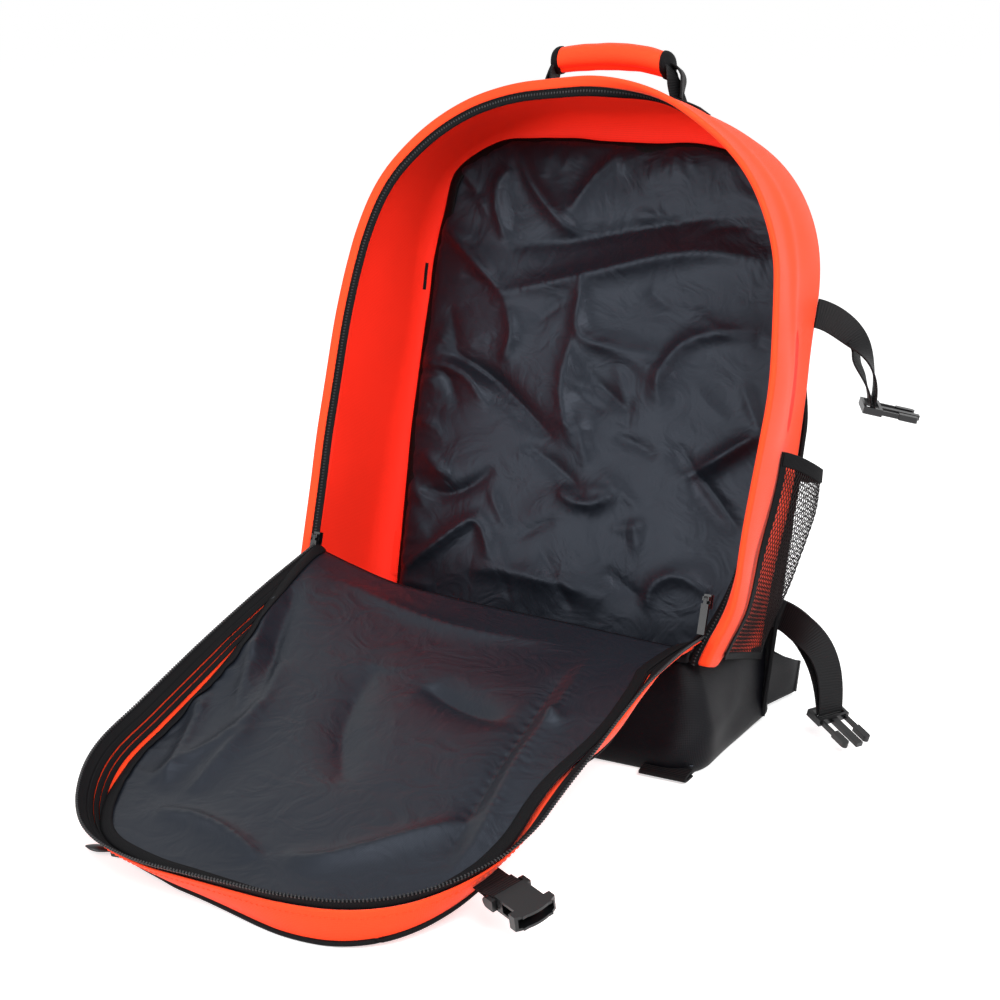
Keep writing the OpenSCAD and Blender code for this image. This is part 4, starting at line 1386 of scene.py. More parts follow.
@dataclass(frozen=True)
class Tether:
    """Short webbing that holds a female buckle on the flap."""

    name: str
    seat: tuple[float, float, float]
    along: tuple[float, float, float]
    across: tuple[float, float, float]
    back: float
    bar: float = 16.95
    bend_r: float = 2.9

    def build(self) -> Piece:
        """Makes the webbing from under the flap round the buckle's bar.

        Returns:
            The webbing, tied to the flap.
        """
        way, side = unit(np.array(self.along)), unit(np.array(self.across))
        up = np.cross(way, side)
        r = self.bend_r
        bend = [(self.bar + r * math.sin(a), r * math.cos(a)) for a in np.linspace(0, math.pi, 9)]
        route = [(-self.back, 0.4), (2.0, 0.4), (self.bar - 6, 2.4), *bend, (self.bar - 6, -2.4), (2.0, -1.8)]
        path = np.array([np.array(self.seat) + d * way + h * up for d, h in route])
        dense = above_ground(flap(resample(path, 1.5)), low=1.0)
        piece = ribbon(f"tether_{self.name}", dense, flap_way(side), WEB_W, WEB_T, WEBBING)
        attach(piece, "flap")
        return piece


def tethers() -> list[Piece]:
    """Makes the webbing of all four female buckles, at the seats that the part's source gives.

    Returns:
        The four pieces of webbing.
    """
    turn, tilt, rise = math.radians(24), math.radians(20), math.atan(FLAP_RISE)
    out = CORNER - 13.2
    along, across = (math.cos(turn), math.sin(turn), 0), (-math.sin(turn), math.cos(turn), 0)
    first = (HALF_W - CORNER + out * along[0], HEIGHT - CORNER - FOLD + out * along[1], 24.0)
    lo, hi = node_box("lower_female_right")
    low, low_at = to_flap((lo + hi) / 2), 110.0
    made = [Tether("upper_right", first, along, across, 22.0),
            Tether("upper_left", (-155.8, 285.0, 37.0), (0, -math.cos(tilt), math.sin(tilt)), (1, 0, 0), 8.0)]
    for side in Side:
        seat = (side * low[0], low_at, 1 + FLAP_RISE * (low_at - FLAP_START))
        made.append(Tether(f"lower_{side.word}", seat, (0, -math.sin(rise), math.cos(rise)),
                           (0, math.cos(rise), math.sin(rise)), 0.5))
    pieces = [item.build() for item in made]
    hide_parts("buckle_tethers")
    return pieces


@dataclass
class Foot:
    """Black foot of the bag: wrapped base, soft front sill under the fold, floor and tab."""

    bottom_r: float = 30.0
    top_r: float = 14.0
    # Shares of the height at which the cloth's rows lie
    levels: tuple[float, ...] = (0.0, 0.02, 0.06, 0.14, 0.25, 0.36, 0.47, 0.58, 0.69, 0.8, 0.92, 1.0)
    # Height of the cloth at the front, how much higher it is at the back, and where it is so
    top: tuple[float, float, float] = (93.0, 14.0, 118.0)
    # How far the right front corner is drawn in, and how far the right side is nipped near the back
    drawn: float = 22.0
    nipped: float = 10.0
    # Slanting fold on the right side: height, half width, height at the corner, slope, length
    fold_high: float = 3.0
    fold_wide: float = 7.0
    fold_from: float = 11.0
    fold_slope: float = 53 / 120
    fold_long: float = 130.0

    def outline(self, radius: float) -> Array:
        """Plan of the base (x, depth) from the back left round the front to the back right.

        Args:
            radius: Radius of the two front corners, in mm.

        Returns:
            Points of the plan, in mm.
        """
        r = radius
        left = np.stack([np.full(24, -HALF_W), np.linspace(DEPTH + 10, r, 24)], -1)
        a = np.linspace(0, math.pi / 2, 10)[1:-1]
        corner = np.stack([-HALF_W + r - r * np.cos(a), r - r * np.sin(a)], -1)
        half = np.concatenate([left, corner])
        front = np.stack([np.linspace(-HALF_W + r, HALF_W - r, 56), np.zeros(56)], -1)
        return np.concatenate([half, front, (half * [-1, 1])[::-1]])

    def row(self, t: float) -> Array:
        """Points of the wrapped cloth at one level.

        Args:
            t: Share of the way from the ground to the base seam.

        Returns:
            Points of the leaning bag, in mm.
        """
        plan = self.outline(self.bottom_r + (self.top_r - self.bottom_r) * float(ease(t)))
        run, deep = lengths(plan), plan[:, 1]
        front, more, back = self.top
        top = front + more * np.clip(deep / back, 0, 1)
        high = (deep * math.tan(LEAN) + 0.9) * (1 - t) + top * t
        right = ease((plan[:, 0] - 100) / 80)
        drawn = self.drawn * right * (1 - ease(deep / LIMP_TO)) * t**1.6
        nip = self.nipped * right * ease(deep / NIP_TO) * float(ease(t / 0.4))
        core = np.clip(plan, [-HALF_W + 60, 60], [HALF_W - 60, DEPTH])
        puff = math.sin(math.pi * t) * (3.2 + 2.2 * waves(run, np.full_like(run, t * 90), seed=41, size=90))
        corner = int(np.argmin(np.abs(plan[:, 0] - 145) + np.abs(deep)))
        path = np.where(plan[:, 0] > 100, run, -999) - run[corner]
        beside = (high - (self.fold_from + path * self.fold_slope)) / self.fold_wide
        puff += self.fold_high * np.exp(-(beside**2)) * ease(path / 20) * ease((self.fold_long - path) / 30)
        puff += 1.0 - 8.0 * max(0.0, 1 - t / 0.14) ** 2
        flat = plan + unit(plan - core) * puff[:, None] - np.stack([drawn + nip, -drawn * 0.2], -1)
        return np.concatenate([flat, high[:, None]], 1)

    def build(self) -> list[Piece]:
        """Makes the pieces of the foot.

        Returns:
            The pieces, tied to the shell.
        """
        world = above_ground(bag(np.stack([self.row(t) for t in self.levels], 1)), low=0.8)
        wrap = layer("base_cloth", world, BLACK, thick=1.4, levels=1)
        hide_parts("base_wrap")
        made = [wrap, self.sill(), self.floor(), self.base(), self.tab()]
        for piece in made:
            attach(piece, "shell")
        return made

    def sill(self) -> Piece:
        """Makes the soft black front from the base seam up to the fold.

        Returns:
            The front.
        """
        x = np.linspace(-HALF_W + 4, 174, 76)
        top = along_keys(RIDGE, x)
        rows = [xyz(x, -1.5 * math.sin(math.pi * t), SEAM - 8 + (top - SEAM + 8) * t)
                for t in np.linspace(0, 1, 6)]
        rows += [xyz(x, 5.0, top + 0.5), xyz(x, 9.0, top - 6)]
        piece = layer("front_sill", bag(np.stack(rows, 1)), BLACK, thick=1.4, levels=1)
        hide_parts("lower_front")
        return piece

    def floor(self) -> Piece:
        """Makes the lining over the board in the foot of the bag.

        Returns:
            The lining.
        """
        x, y = np.meshgrid(np.linspace(-HALF_W + 8, HALF_W - 8, 56), np.linspace(-64, 64, 20), indexing="ij")
        fade = np.sin(math.pi * np.linspace(0, 1, 56))[:, None] ** 0.5
        z = 8.6 + 1.0 * waves(x, y, seed=51, size=70) * fade
        piece = layer("floor_lining", xyz(x, y, z), LINING, thick=0.6)
        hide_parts("base_board")
        return piece

    def base(self) -> Piece:
        """Makes the cloth under the bag.

        Returns:
            The cloth.
        """
        x, y = np.meshgrid(np.linspace(-HALF_W + 9, HALF_W - 9, 40), np.linspace(-66, 66, 16), indexing="ij")
        piece = layer("base_bottom", xyz(x, y, 2.0), BLACK, thick=2.4)
        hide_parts("base_panel")
        return piece

    def tab(self) -> Piece:
        """Makes the folded webbing tab that lies at the front of the foot.

        Returns:
            The tab.
        """
        lo, hi = node_box("base_tab")
        mid = (lo[0] + hi[0]) / 2 + 8
        route = [(hi[1] + 8, 1.6), (lo[1] + 2, 1.6), (lo[1] - 1, 3.2), (lo[1] + 2, 5.0), (hi[1] + 8, 6.4)]
        path = smooth_path(np.array([(mid, y, z) for y, z in route]), 26)
        piece = ribbon("base_tab_webbing", path, (1, 0, 0), hi[0] - lo[0], WEB_T, WEBBING)
        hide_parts("base_tab")
        return piece


@dataclass
class Handle:
    """Padded grab handle on the top, with its webbing and sewn patches."""

    shell: Shell
    depth: float = 64.0
    half: float = 50.5
    # Heights between which the webbing bends when the handle swings
    bends: tuple[float, float] = (549.0, 570.0)
    # Half depth and half height of the roll
    roll: tuple[float, float] = (12.5, 11.4)
    # Height of the roll's middle line by x
    rise: Keys = ((-58, 580.0), (-40, 583.5), (0, 586.0), (30, 584.0), (58, 576.5))

    def section(self, x: Array, wide: Array, tall: Array, groove: float) -> Array:
        """Rings of the roll at each x, with a shallow seam groove below.

        Args:
            x: Places along the roll.
            wide: Half depth of the roll at each place.
            tall: Half height of the roll at each place.
            groove: Depth of the groove, as a share.

        Returns:
            Rings of points of the leaning bag, in mm.
        """
        mid = xyz(x, self.depth, along_keys(self.rise, x, blur=10.0))
        a = np.linspace(0, 2 * math.pi, 36, endpoint=False)
        dent = 1 - groove * np.exp(-(((a - 4.3) / 0.22) ** 2))
        ripple = 1 + 0.02 * waves(x[:, None], a[None] * 11, seed=61, size=22)
        ring = np.zeros((len(x), len(a), 3))
        ring[..., 1] = wide[:, None] * np.cos(a) * dent * ripple
        ring[..., 2] = tall[:, None] * np.sin(a) * dent * ripple
        return mid[:, None] + ring

    def build(self) -> list[Piece]:
        """Makes the roll, its bound ends, its webbing and the patches.

        Returns:
            The pieces: roll, bound ends and rim tied to the handle, patches tied to the shell, webbing baked
                into the shared frame.
        """
        x = np.linspace(-self.half, self.half, 44)
        fat = 1 - 0.06 * np.abs(x / self.half) ** 4
        rings = self.section(x, self.roll[0] * fat, self.roll[1] * fat, groove=0.16)
        roll = grid("handle_roll", bag(rings), ORANGE, loop=True, ends=True)
        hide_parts("handle_grip")
        made = [roll]
        u = np.array([0, 0.1, 0.35, 0.6, 0.8, 0.95, 1.0])
        size = np.array([0.9, 1.02, 1.04, 1.0, 0.9, 0.6, 0.25])
        for side in (Side.LEFT, Side.RIGHT):
            ends = side * (self.half - 2.5 + 8.5 * u)
            cap = self.section(ends, 12.6 * size, 11.6 * size, groove=0.1)
            made.append(grid(f"handle_end_{side.word}", bag(cap), BINDING, loop=True, ends=True))
            made += self.leg(side)
        rim = np.linspace(-self.half, self.half, 40)
        high = along_keys(self.rise, rim, blur=10.0) + 8.6 + 1.6 * np.abs(rim / self.half) ** 2
        edge = bag(xyz(rim, self.depth + 8.0, high))
        made.append(tube("handle_rim", edge, radius=1.5, finish=BINDING, sides=8))
        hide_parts("handle_legs")
        for piece in made:
            if "webbing" in piece.name:
                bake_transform(piece)
            else:
                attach(piece, "handle")
        return made + self.patches()

    def leg(self, side: Side) -> list[Piece]:
        """Makes the doubled webbing at one end, twisted open at the right one.

        Args:
            side: Which end of the handle.

        Returns:
            The two pieces of webbing.
        """
        y = self.depth
        if side is Side.RIGHT:
            front = [(48, y - 1, 577), (56, y - 3, 576), (60, y - 6, 568), (62, y - 3, 559), (67, y, 547)]
            rear = [(48, y + 2, 580), (59, y + 3, 579), (64.5, y + 6, 572), (66, y + 3, 562), (68.5, y, 547)]
        else:
            front = [(48, y - 1, 577), (53, y - 2, 574), (54.5, y - 2, 566), (55, y - 1, 559), (58, y, 547)]
            rear = [(48, y + 2, 580), (55, y + 3, 578), (57, y + 3, 570), (57.5, y + 2, 561), (59, y, 547)]
        made = []
        for name, route, lean in (("front", front, 0.5), ("rear", rear, -0.35)):
            path = bag(smooth_path(np.array(route) * [side, 1, 1], 26))
            turn = ease(np.linspace(0, 1, 26))[:, None] * lean
            across = bag_way(np.array([0, 1.0, 0])) + turn * np.array([side * 1.0, 0, 0])
            made.append(ribbon(f"handle_webbing_{side.word}_{name}", path, across,
                               width=18.0, thick=1.9, finish=WEBBING))
        return made

    def patches(self) -> list[Piece]:
        """Makes the webbing patches sewn down under both ends of the handle.

        Returns:
            The two patches, tied to the shell.
        """
        made = []
        for side, low, high in ((Side.LEFT, 488, 526), (Side.RIGHT, 636, 674)):
            part = (self.shell.run >= low) & (self.shell.run <= high)
            path = bag(smooth_path(self.shell.point(-1.3, self.depth)[part], 14))
            across = bag_way(np.array([0, 1, 0]))
            made.append(ribbon(f"handle_patch_{side.word}", path, across,
                               width=WEB_W, thick=2.2, finish=WEBBING))
        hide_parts("handle_anchors")
        for piece in made:
            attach(piece, "shell")
        return made


@dataclass(frozen=True)
class SideStrap:
    """A compression strap of doubled webbing on the side of the bag."""

    name: str
    height: float
    pull: tuple[float, float, float]
    bar: tuple[float, float, float]
    turn: tuple[float, float, float]
    lead: float
    tail: float
    gap: float
    drop: float = 0.0

    def build(self, side: Side, shell: Shell) -> list[Piece]:
        """Makes the strap on one side, with its tail looped back from the buckle.

        Args:
            side: Which side of the bag.
            shell: Wall that the strap is sewn to.

        Returns:
            The strap's pieces.
        """
        body = f"{self.name}_strap_{side.word}"
        root = np.array([HALF_W + 1.2, 123.0, self.height])
        way = turned(turned((0, 0, 1), (0, self.lead, 0)), self.turn)
        wide = turned((0, 1, 0), self.turn)
        end = root + self.bar + 1.95 * way
        root = root - [0, 0, self.drop]
        wall = shell.side_x(side, np.array(root[1]), np.array(root[2])) + 1.4 - root[0]
        root = root + [min(float(wall), 0.0), 3.0, 0]
        path = bezier((root, root + self.pull, end + 40 * way, end), 40)
        t = ease(np.linspace(0, 1, 40))[:, None]
        across = unit((1 - t) * np.array([0, 0, 1.0]) + t * wide)
        if across[-1] @ across[0] < 0:
            across = unit((1 - t) * np.array([0, 0, 1.0]) - t * wide)
        flip = np.array([side, 1, 1])
        main = ribbon(f"{body}_webbing", bag(path * flip), bag_way(across * flip), WEB_W, WEB_T, WEBBING)
        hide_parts(body)
        out = unit(np.cross(directions(path), across))
        out = out * np.sign(out[:, 0].mean())
        cut = int(len(path) * (1 - self.tail))
        u = np.linspace(0, 1, len(path) - cut)[:, None]
        back = path[cut:] + out[cut:] * (math.copysign(2.2, self.gap) + self.gap * np.sin(math.pi * u**0.8))
        fold = ribbon(f"{body}_tail", bag(back * flip), bag_way(across[cut:] * flip), WEB_W, WEB_T, WEBBING)
        for piece in (main, fold):
            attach(piece, body)
        return [main, fold]


@dataclass
class NetPocket:
    """Side pocket of open net, with bound edges and an elastic mouth."""

    shell: Shell
    side: Side
    cell: float = 3.3
    yarn: float = 0.34
    foot: float = 98.0
    mouth: float = 267.0
    back: float = 119.0
    # Share of the way at which the face turns in to the wall, and the flat size of the net
    corner: float = 0.84
    wide: float = 96.0
    tall: float = 165.0
    # Depth of the front edge, and how far the net stands off the wall, by height
    front: Keys = ((94, 20), (123, 24), (150, 44), (180, 53), (208, 64), (244, 72), (267, 72))
    stand: Keys = ((100, 0), (114, 2.4), (149, 12.7), (166, 17), (196, 21), (226, 24), (245, 22.5), (270, 22))

    def surface(self, a: Array, b: Array, lift: float = 0.0) -> Array:
        """Points of the pocket's face.

        Args:
            a: Share of the way from the front edge to the back edge.
            b: Share of the way from the foot to the mouth.
            lift: How far the points stand off the net, in mm.

        Returns:
            Points in the shared frame, in mm.
        """
        z = self.foot + (self.mouth - 8 * ease(a) - self.foot) * b
        start = along_keys(self.front, z, blur=8.0)
        face, folded = a / self.corner, ease((a - self.corner) / (1 - self.corner))
        y = start + (self.back - start) * np.minimum(face, 1) + 4 * folded
        swell = np.sin(np.clip(face, 0, 1) * math.pi / 2) ** 0.9 * (1 - folded)
        x = self.shell.side_x(self.side, y, z) + 3.4 + lift + along_keys(self.stand, z, blur=8.0) * swell
        return bag(xyz(x * self.side, y, z))

    def yarns(self) -> tuple[Array, list]:
        """Lays the crossing yarns of the net.

        Returns:
            Vertices in the shared frame in mm, and faces.
        """
        wide, tall = self.wide, self.tall
        verts, faces = [], []
        for lean in (1, -1):
            for c in np.arange(-tall, wide + tall, self.cell * 1.2):
                b = np.linspace(0, tall, 70)
                a = c + lean * b * 0.62
                keep = (a >= 0) & (a <= wide)
                if keep.sum() < 3:
                    continue
                path = self.surface(a[keep] / wide, b[keep] / tall, 0.3 * lean)
                tangent = directions(path)
                u = unit(np.cross(tangent, [[0.3, 0.2, 1.0]]))
                v = np.cross(tangent, u)
                base = len(verts)
                for p, du, dv in zip(path, u * self.yarn, v * self.yarn):
                    verts += [p + du, p + dv, p - du, p - dv]
                for i in range(base, base + 4 * len(path) - 4, 4):
                    faces += [(i + j, i + (j + 1) % 4, i + 4 + (j + 1) % 4, i + 4 + j) for j in range(4)]
        return np.array(verts), faces

    def build(self) -> list[Piece]:
        """Makes the net, its bound edges and its elastic mouth.

        Returns:
            The pieces, tied to the shell.
        """
        label = self.side.word
        verts, faces = self.yarns()
        net = make(f"net_{label}", verts, faces, NET, verts[:, :2] * MM)
        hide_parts(f"side_pocket_{label}")
        b = np.linspace(0, 1, 40)
        edge = self.surface(np.full_like(b, 0.02), b)
        toward = self.surface(np.full_like(b, 0.07), b) - edge
        band = ribbon(f"net_edge_{label}", edge, toward, width=6.5, thick=1.4, finish=BINDING)
        rear = self.surface(np.full_like(b, 0.97), b)
        inward = rear - self.surface(np.full_like(b, 0.9), b)
        seam = ribbon(f"net_seam_{label}", rear, inward, width=5.0, thick=1.4, finish=BINDING)
        a = np.linspace(0, 1, 44)
        mouth = self.surface(a, np.full_like(a, 0.965), 0.5)
        up = self.surface(a, np.ones_like(a)) - self.surface(a, np.full_like(a, 0.9))
        elastic = ribbon(f"net_mouth_{label}", mouth, up, width=12.0, thick=2.2, finish=BINDING)
        hem = ribbon(f"net_foot_{label}", self.surface(a, np.full_like(a, 0.01)), up,
                     width=6.0, thick=1.4, finish=BINDING)
        if self.side is Side.LEFT:
            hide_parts("pocket_bands")
        made = [net, band, seam, elastic, hem]
        for piece in made:
            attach(piece, "shell")
        return made


@dataclass
class Back:
    """Padded back with its piping, the two shoulder straps and their lower webbing."""

    pad_w: float = 62.0
    pad_t: float = 14.0
    pad_x: float = 76.0
    bow: float = 34.0
    wing_x: float = 183.0
    wing_z: float = 84.0
    wing_l: float = 62.0
    splay: float = 12.0
    lock_l: float = 22.0
    # How far the edge lies in at the right shoulder, and from which height
    shy: float = 11.0
    shy_from: float = 290.0
    # Width of the pad's rounded rim, depth and half width of the groove up its middle and of the one across
    rim_w: float = 16.0
    spine: tuple[float, float] = (0.55, 13.0)
    seam: tuple[float, float] = (0.4, 10.0)
    seam_z: float = 330.0

    def panel(self) -> list[Piece]:
        """Makes the quilted pad over the back and the cord round its edge.

        Returns:
            The pad and the cord.
        """
        run, line, out = Arch().stations(foot=50.0, step=8.0)
        half = len(run) // 2
        hidden = self.shy * ease((line[:, 1] - self.shy_from) / 70) * (line[:, 0] > 0)
        edge = line - (1.0 + hidden)[:, None] * out
        stop = int(np.searchsorted(edge[: half + 1, 0], -(HALF_W - CORNER))) + 1
        left, right = edge[:stop], edge[::-1][:stop]
        t = np.linspace(0, 1, 61)[None, :]
        x = left[:, :1] * (1 - t) + right[:, :1] * t
        z = np.broadcast_to(left[:, 1:], x.shape)
        rim = np.minimum(np.minimum(t, 1 - t) * (right[:, :1] - left[:, :1]), HEIGHT - z)
        pad = np.sqrt(np.clip(1 - (1 - np.clip(rim / self.rim_w, 0, 1)) ** 2, 0, 1))
        groove = self.spine[0] * np.exp(-((x / self.spine[1]) ** 2))
        groove += self.seam[0] * np.exp(-(((z - self.seam_z) / self.seam[1]) ** 2)) * (np.abs(x) > 20)
        y = DEPTH + 1.0 + (BACK_T - 1.6) * pad * (1 - groove)
        face = layer("back_pad", bag(xyz(x, y, z)), AIR_MESH, thick=1.2, levels=1)
        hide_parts("back_panel")
        at = line - hidden[:, None] * out
        cord = tube("back_cord", resample(bag(np.insert(at, 1, DEPTH + 1.0, axis=1)), 5.0),
                    radius=2.1, finish=BINDING, sides=8)
        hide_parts("back_piping")
        return [face, cord]

    def arc(self) -> tuple[float, Array, float, float]:
        """Radius, middle and end angles of a shoulder strap's arc (depth, height).

        Returns:
            The radius, the middle, the lower and the upper angle.
        """
        first, last = np.array([DEPTH + BACK_T, 500.0]), np.array([DEPTH + BACK_T + 24, 200.0])
        chord = float(np.linalg.norm(last - first))
        r = chord**2 / (8 * self.bow) + self.bow / 2
        normal = np.array([first[1] - last[1], last[0] - first[0]]) / chord
        mid = (first + last) / 2 + normal * (self.bow - r)
        return r, mid, math.atan2(*(last - mid)[::-1]), math.atan2(*(first - mid)[::-1])

    def strap(self, side: Side) -> list[Piece]:
        """Makes one padded shoulder strap with its bound edges and stitched webbing.

        Args:
            side: Which shoulder strap.

        Returns:
            The strap's pieces.
        """
        label = side.word
        r, mid, a0, a1 = self.arc()
        rows, sides = 60, 28
        turn = np.linspace(a1, a0, rows)
        t = np.linspace(0, 1, rows)
        centre = r + self.pad_t / 2
        y, z = mid[0] + centre * np.cos(turn), mid[1] + centre * np.sin(turn)
        ring = np.linspace(0, 2 * math.pi, sides, endpoint=False)
        wide = self.pad_w / 2 * (1 - 0.22 * ease((t - 0.75) / 0.25))
        thick = self.pad_t / 2 * np.sqrt(np.clip(1 - np.abs(2 * t - 1) ** 14, 0.02, 1))
        px = np.sign(np.cos(ring)) * np.abs(np.cos(ring)) ** 0.6
        py = np.sign(np.sin(ring)) * np.abs(np.sin(ring)) ** 0.8
        pts = np.empty((rows, sides, 3))
        pts[..., 0] = side * self.pad_x + wide[:, None] * px[None]
        pts[..., 1] = y[:, None] + thick[:, None] * py[None] * np.cos(turn)[:, None]
        pts[..., 2] = z[:, None] + thick[:, None] * py[None] * np.sin(turn)[:, None]
        pad = grid(f"shoulder_pad_{label}", bag(pts), AIR_MESH, loop=True, ends=True)
        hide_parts(f"shoulder_strap_{label}")
        made = [pad]
        for edge, word in ((-1, "a"), (1, "b")):
            line = xyz(side * self.pad_x + edge * wide, y, z)
            made.append(tube(f"shoulder_binding_{label}_{word}", bag(line[2:-2]),
                             radius=1.8, finish=BINDING, sides=8))
        outer = r + self.pad_t + 0.6
        on = xyz(side * self.pad_x, mid[0] + outer * np.cos(turn), mid[1] + outer * np.sin(turn))
        made.append(ribbon(f"shoulder_runner_{label}", bag(on[6:-2]), (1, 0, 0),
                           width=WEB_W, thick=WEB_T, finish=WEBBING))
        end = mid + centre * np.array([math.cos(a0), math.sin(a0)])
        return made + self.lower(side, end, a0)

    def lower(self, side: Side, end: Array, a0: float) -> list[Piece]:
        """Makes the wing at the base and the webbing from it to the strap's adjuster.

        Args:
            side: Which shoulder strap.
            end: Lower end of the strap (depth, height), in mm.
            a0: Angle of the arc at that end.

        Returns:
            The webbing, the wing and its bar.
        """
        label = side.word
        down = np.array([0, math.sin(a0), -math.cos(a0)])
        top = np.array([self.pad_x, end[0], end[1]]) + (self.lock_l + 0.35) * down
        tip = np.array([self.wing_x - 2 + self.splay, DEPTH + BACK_T + self.wing_l + 1.35, self.wing_z])
        path = bezier((top, top + 40 * down, tip + [-40, 20, 0], tip), 40)
        t = ease(np.linspace(0, 1, 40))[:, None]
        across = unit((1 - t) * np.array([1.0, 0, 0]) + t * np.array([0, 0, 1.0]))
        flip = np.array([side, 1, 1])
        across = bag_way(across * flip)
        web = ribbon(f"shoulder_webbing_{label}", bag(path * flip), across,
                     width=WEB_W, thick=2.0, finish=WEBBING)
        u, v = np.meshgrid(np.linspace(0, 1, 24), np.linspace(-1, 1, 15), indexing="ij")
        high = np.where(v > 0, 21 - 8.5 * u, 34 - 21.5 * u) * v
        bulge = self.splay * ease(u) + 0.8 * waves(u * 60, v * 20, seed=71, size=40) * np.sin(math.pi * u)
        deep = DEPTH + 2 + (BACK_T + self.wing_l - 2) * u
        pts = xyz(self.wing_x + bulge, deep, self.wing_z + high)
        wing = layer(f"strap_wing_{label}", bag(pts * flip), BLACK, thick=3.4)
        bar = xyz(tip[0] + 2, tip[1] - 4.5, self.wing_z + np.linspace(-13.5, 13.5, 10))
        hold = ribbon(f"wing_bar_{label}", bag(bar * flip), bag_way(np.array([0, 1, 0])),
                      width=6.0, thick=5.0, finish=WEBBING)
        if side is Side.RIGHT:
            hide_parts("shoulder_webbing")
            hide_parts("strap_wings")
        return [web, wing, hold]

    def build(self) -> list[Piece]:
        """Makes the back and its harness.

        Returns:
            The pieces, tied to the shell.
        """
        made = [*self.panel(), *self.strap(Side.RIGHT), *self.strap(Side.LEFT)]
        for piece in made:
            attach(piece, "shell")
        return made


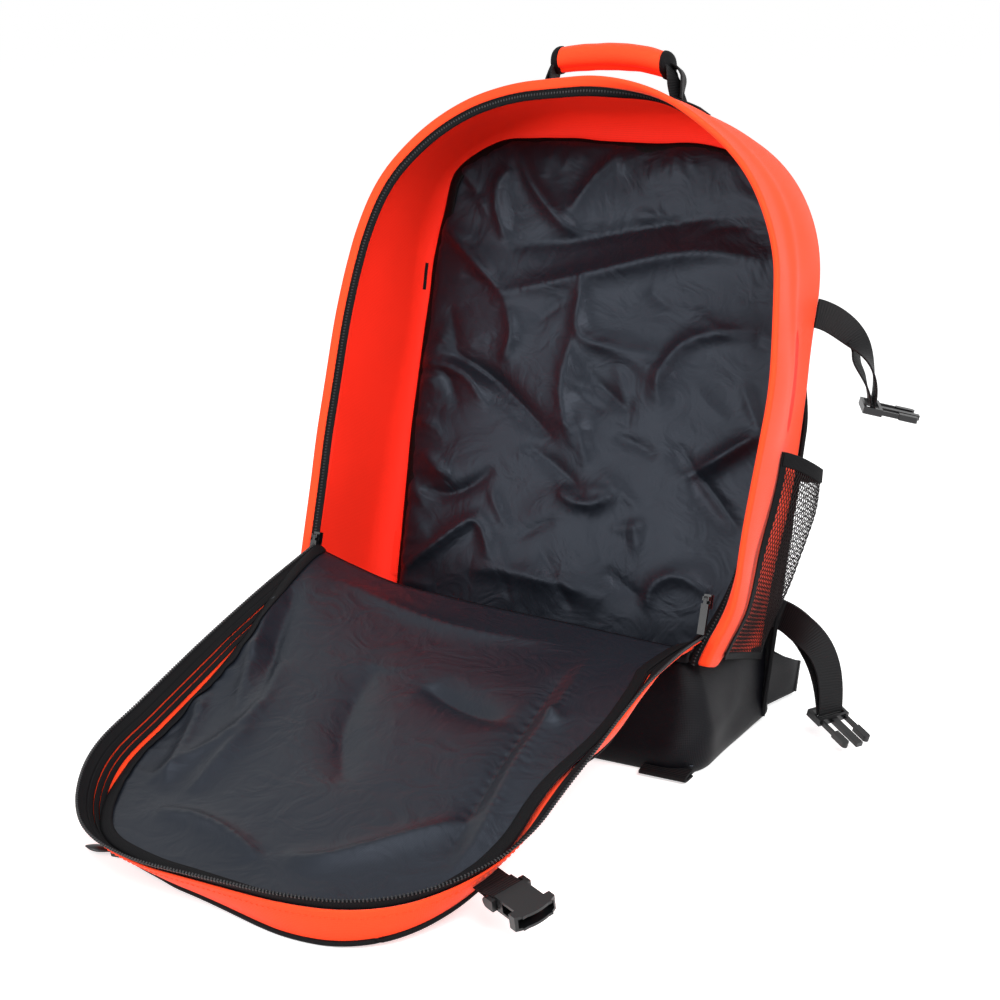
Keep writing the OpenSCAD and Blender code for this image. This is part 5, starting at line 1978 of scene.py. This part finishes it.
@dataclass(frozen=True)
class Studio:
    """Camera, soft light and pale ground of the photo."""

    place: tuple[float, float, float] = (713.62, -1314.57, 597.17)
    right: tuple[float, float, float] = (0.8745, 0.4850, -0.0054)
    up: tuple[float, float, float] = (-0.1247, 0.2355, 0.9638)
    back: tuple[float, float, float] = (0.4688, -0.8422, 0.2664)
    lens: float = 67.5
    sky: float = 0.5
    paper: float = 0.8
    glow: float = 0.6

    def camera(self) -> None:
        """Sets the camera where the photo was taken from."""
        data = bpy.data.cameras.new("camera")
        data.lens, data.sensor_width = self.lens, 36.0
        data.clip_start = 0.01
        obj = bpy.data.objects.new("camera", data)
        turn = Matrix((self.right, self.up, self.back)).transposed().to_4x4()
        obj.matrix_world = Matrix.Translation(Vector(self.place) * MM) @ turn
        bpy.context.scene.collection.objects.link(obj)
        bpy.context.scene.camera = obj

    def lamp(self, name: str, place: Sequence[float], size: float, power: float) -> None:
        """Hangs a square soft box that aims at the bag, in metres and watts.

        Args:
            name: Name of the lamp.
            place: Where it hangs.
            size: Length of its sides.
            power: Its power.
        """
        data = bpy.data.lights.new(name, "AREA")
        data.size, data.energy = size, power
        obj = bpy.data.objects.new(name, data)
        way = Vector((0, -0.05, 0.25)) - Vector(place)
        obj.matrix_world = Matrix.Translation(place) @ way.to_track_quat("-Z", "Y").to_matrix().to_4x4()
        bpy.context.scene.collection.objects.link(obj)

    @staticmethod
    def seen(tree: Tree) -> Socket:
        """Socket that is 1 where the camera, a reflection or a glass looks, and 0 for the light itself.

        Args:
            tree: The nodes of the ground's material or of the world.

        Returns:
            The socket.
        """
        ray = add_node(tree, "ShaderNodeLightPath").outputs
        first = {0: ray["Is Camera Ray"], 1: ray["Is Glossy Ray"]}
        pair = add_node(tree, "ShaderNodeMath", first, operation="MAXIMUM")
        last = {0: pair.outputs[0], 1: ray["Is Transmission Ray"]}
        return add_node(tree, "ShaderNodeMath", last, operation="MAXIMUM").outputs[0]

    def world(self) -> None:
        """Sets a white surround that lights the bag at a plain level."""
        made = bpy.data.worlds.new("studio")
        bpy.context.scene.world = made
        made.use_nodes = True
        tree = made.node_tree
        tree.nodes.clear()
        shown = {"Value": self.seen(tree), "To Min": self.sky, "To Max": 1.0}
        level = add_node(tree, "ShaderNodeMapRange", shown)
        light = add_node(tree, "ShaderNodeBackground", {"Color": (1, 1, 1, 1), "Strength": level.outputs[0]})
        add_node(tree, "ShaderNodeOutputWorld", {"Surface": light.outputs[0]})

    def ground(self) -> None:
        """Lays the white paper, which keeps the bag's shadow."""
        far, low = 40000.0, -0.4
        corners = np.array([[-far, -far, low], [far, -far, low], [far, far, low], [-far, far, low]])
        sheet = make("ground", corners, [(0, 1, 2, 3)], ORANGE)
        paper = bpy.data.materials.new("white paper sweep")
        paper.use_nodes = True
        tree = paper.node_tree
        shader = tree.nodes["Principled BSDF"]
        shader.inputs["Base Color"].default_value = (self.paper, self.paper, self.paper, 1)
        shader.inputs["Roughness"].default_value = 0.9
        shader.inputs["Specular IOR Level"].default_value = 0.0
        shader.inputs["Emission Color"].default_value = (1, 1, 1, 1)
        shown = {"Value": self.seen(tree), "To Min": 0.0, "To Max": self.glow}
        level = add_node(tree, "ShaderNodeMapRange", shown)
        tree.links.new(level.outputs[0], shader.inputs["Emission Strength"])
        sheet.data.materials[0] = paper

    def build(self) -> None:
        """Sets camera, world, lamps and ground."""
        bpy.context.scene.view_settings.view_transform = "Standard"
        self.camera()
        self.world()
        self.lamp("key", (1.3, -1.4, 1.8), 1.1, 38.0)
        self.lamp("fill", (-1.3, -1.9, 1.3), 1.1, 16.0)
        self.lamp("top", (0.1, -0.5, 2.3), 1.1, 13.0)
        self.lamp("side", (2.0, -0.25, 1.6), 1.6, 30.0)
        self.lamp("low", (-0.7, -2.2, 0.3), 0.9, 18.0)
        self.ground()


@dataclass
class Hardware:
    """Sliders, pulls, buckles and adjusters, which keep their moulded form."""

    round: float = 0.7

    def build(self) -> None:
        """Gives each CAD node that still shows its material and rounded edges."""
        for name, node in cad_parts.items():
            if node.hide_render:
                continue
            finish = ZINC if "slider" in name else ACETAL
            node.data.materials.clear()
            node.data.materials.append(finish.material())
            edge = node.modifiers.new("edges", "BEVEL")
            edge.width, edge.segments = self.round * MM, 3
            edge.limit_method = "ANGLE"
            log.info("dressed %s", name)


UPPER = SideStrap("upper", height=389.0, pull=(18, 22, 0), bar=(46.5, 27, -71), turn=(20, 4, 28),
                  lead=0.0, tail=0.6, gap=-8.0)
LOWER = SideStrap("lower", height=146.0, pull=(36, 16, -4), bar=(57.5, -3, -84), turn=(19, 27, -22),
                  lead=-27.0, tail=0.86, gap=9.0, drop=8.0)


def main() -> None:
    """Builds the backpack's looks in order."""
    logging.basicConfig(level=logging.INFO, format="%(message)s")
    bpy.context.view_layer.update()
    Studio().build()
    shell = Shell()
    made = [*shell.build(), *BackLining(shell).build(), *Cover().build(), *FrontPocket().build(), *tethers()]
    made += [*Foot().build(), *Handle(shell).build(), *Back().build()]
    for side in Side:
        made += NetPocket(shell, side).build() + UPPER.build(side, shell) + LOWER.build(side, shell)
    for piece in made:
        log.info("made %s, %d vertices", piece.name, len(piece.data.vertices))
    Hardware().build()
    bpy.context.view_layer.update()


if __name__ == "__main__":
    main()
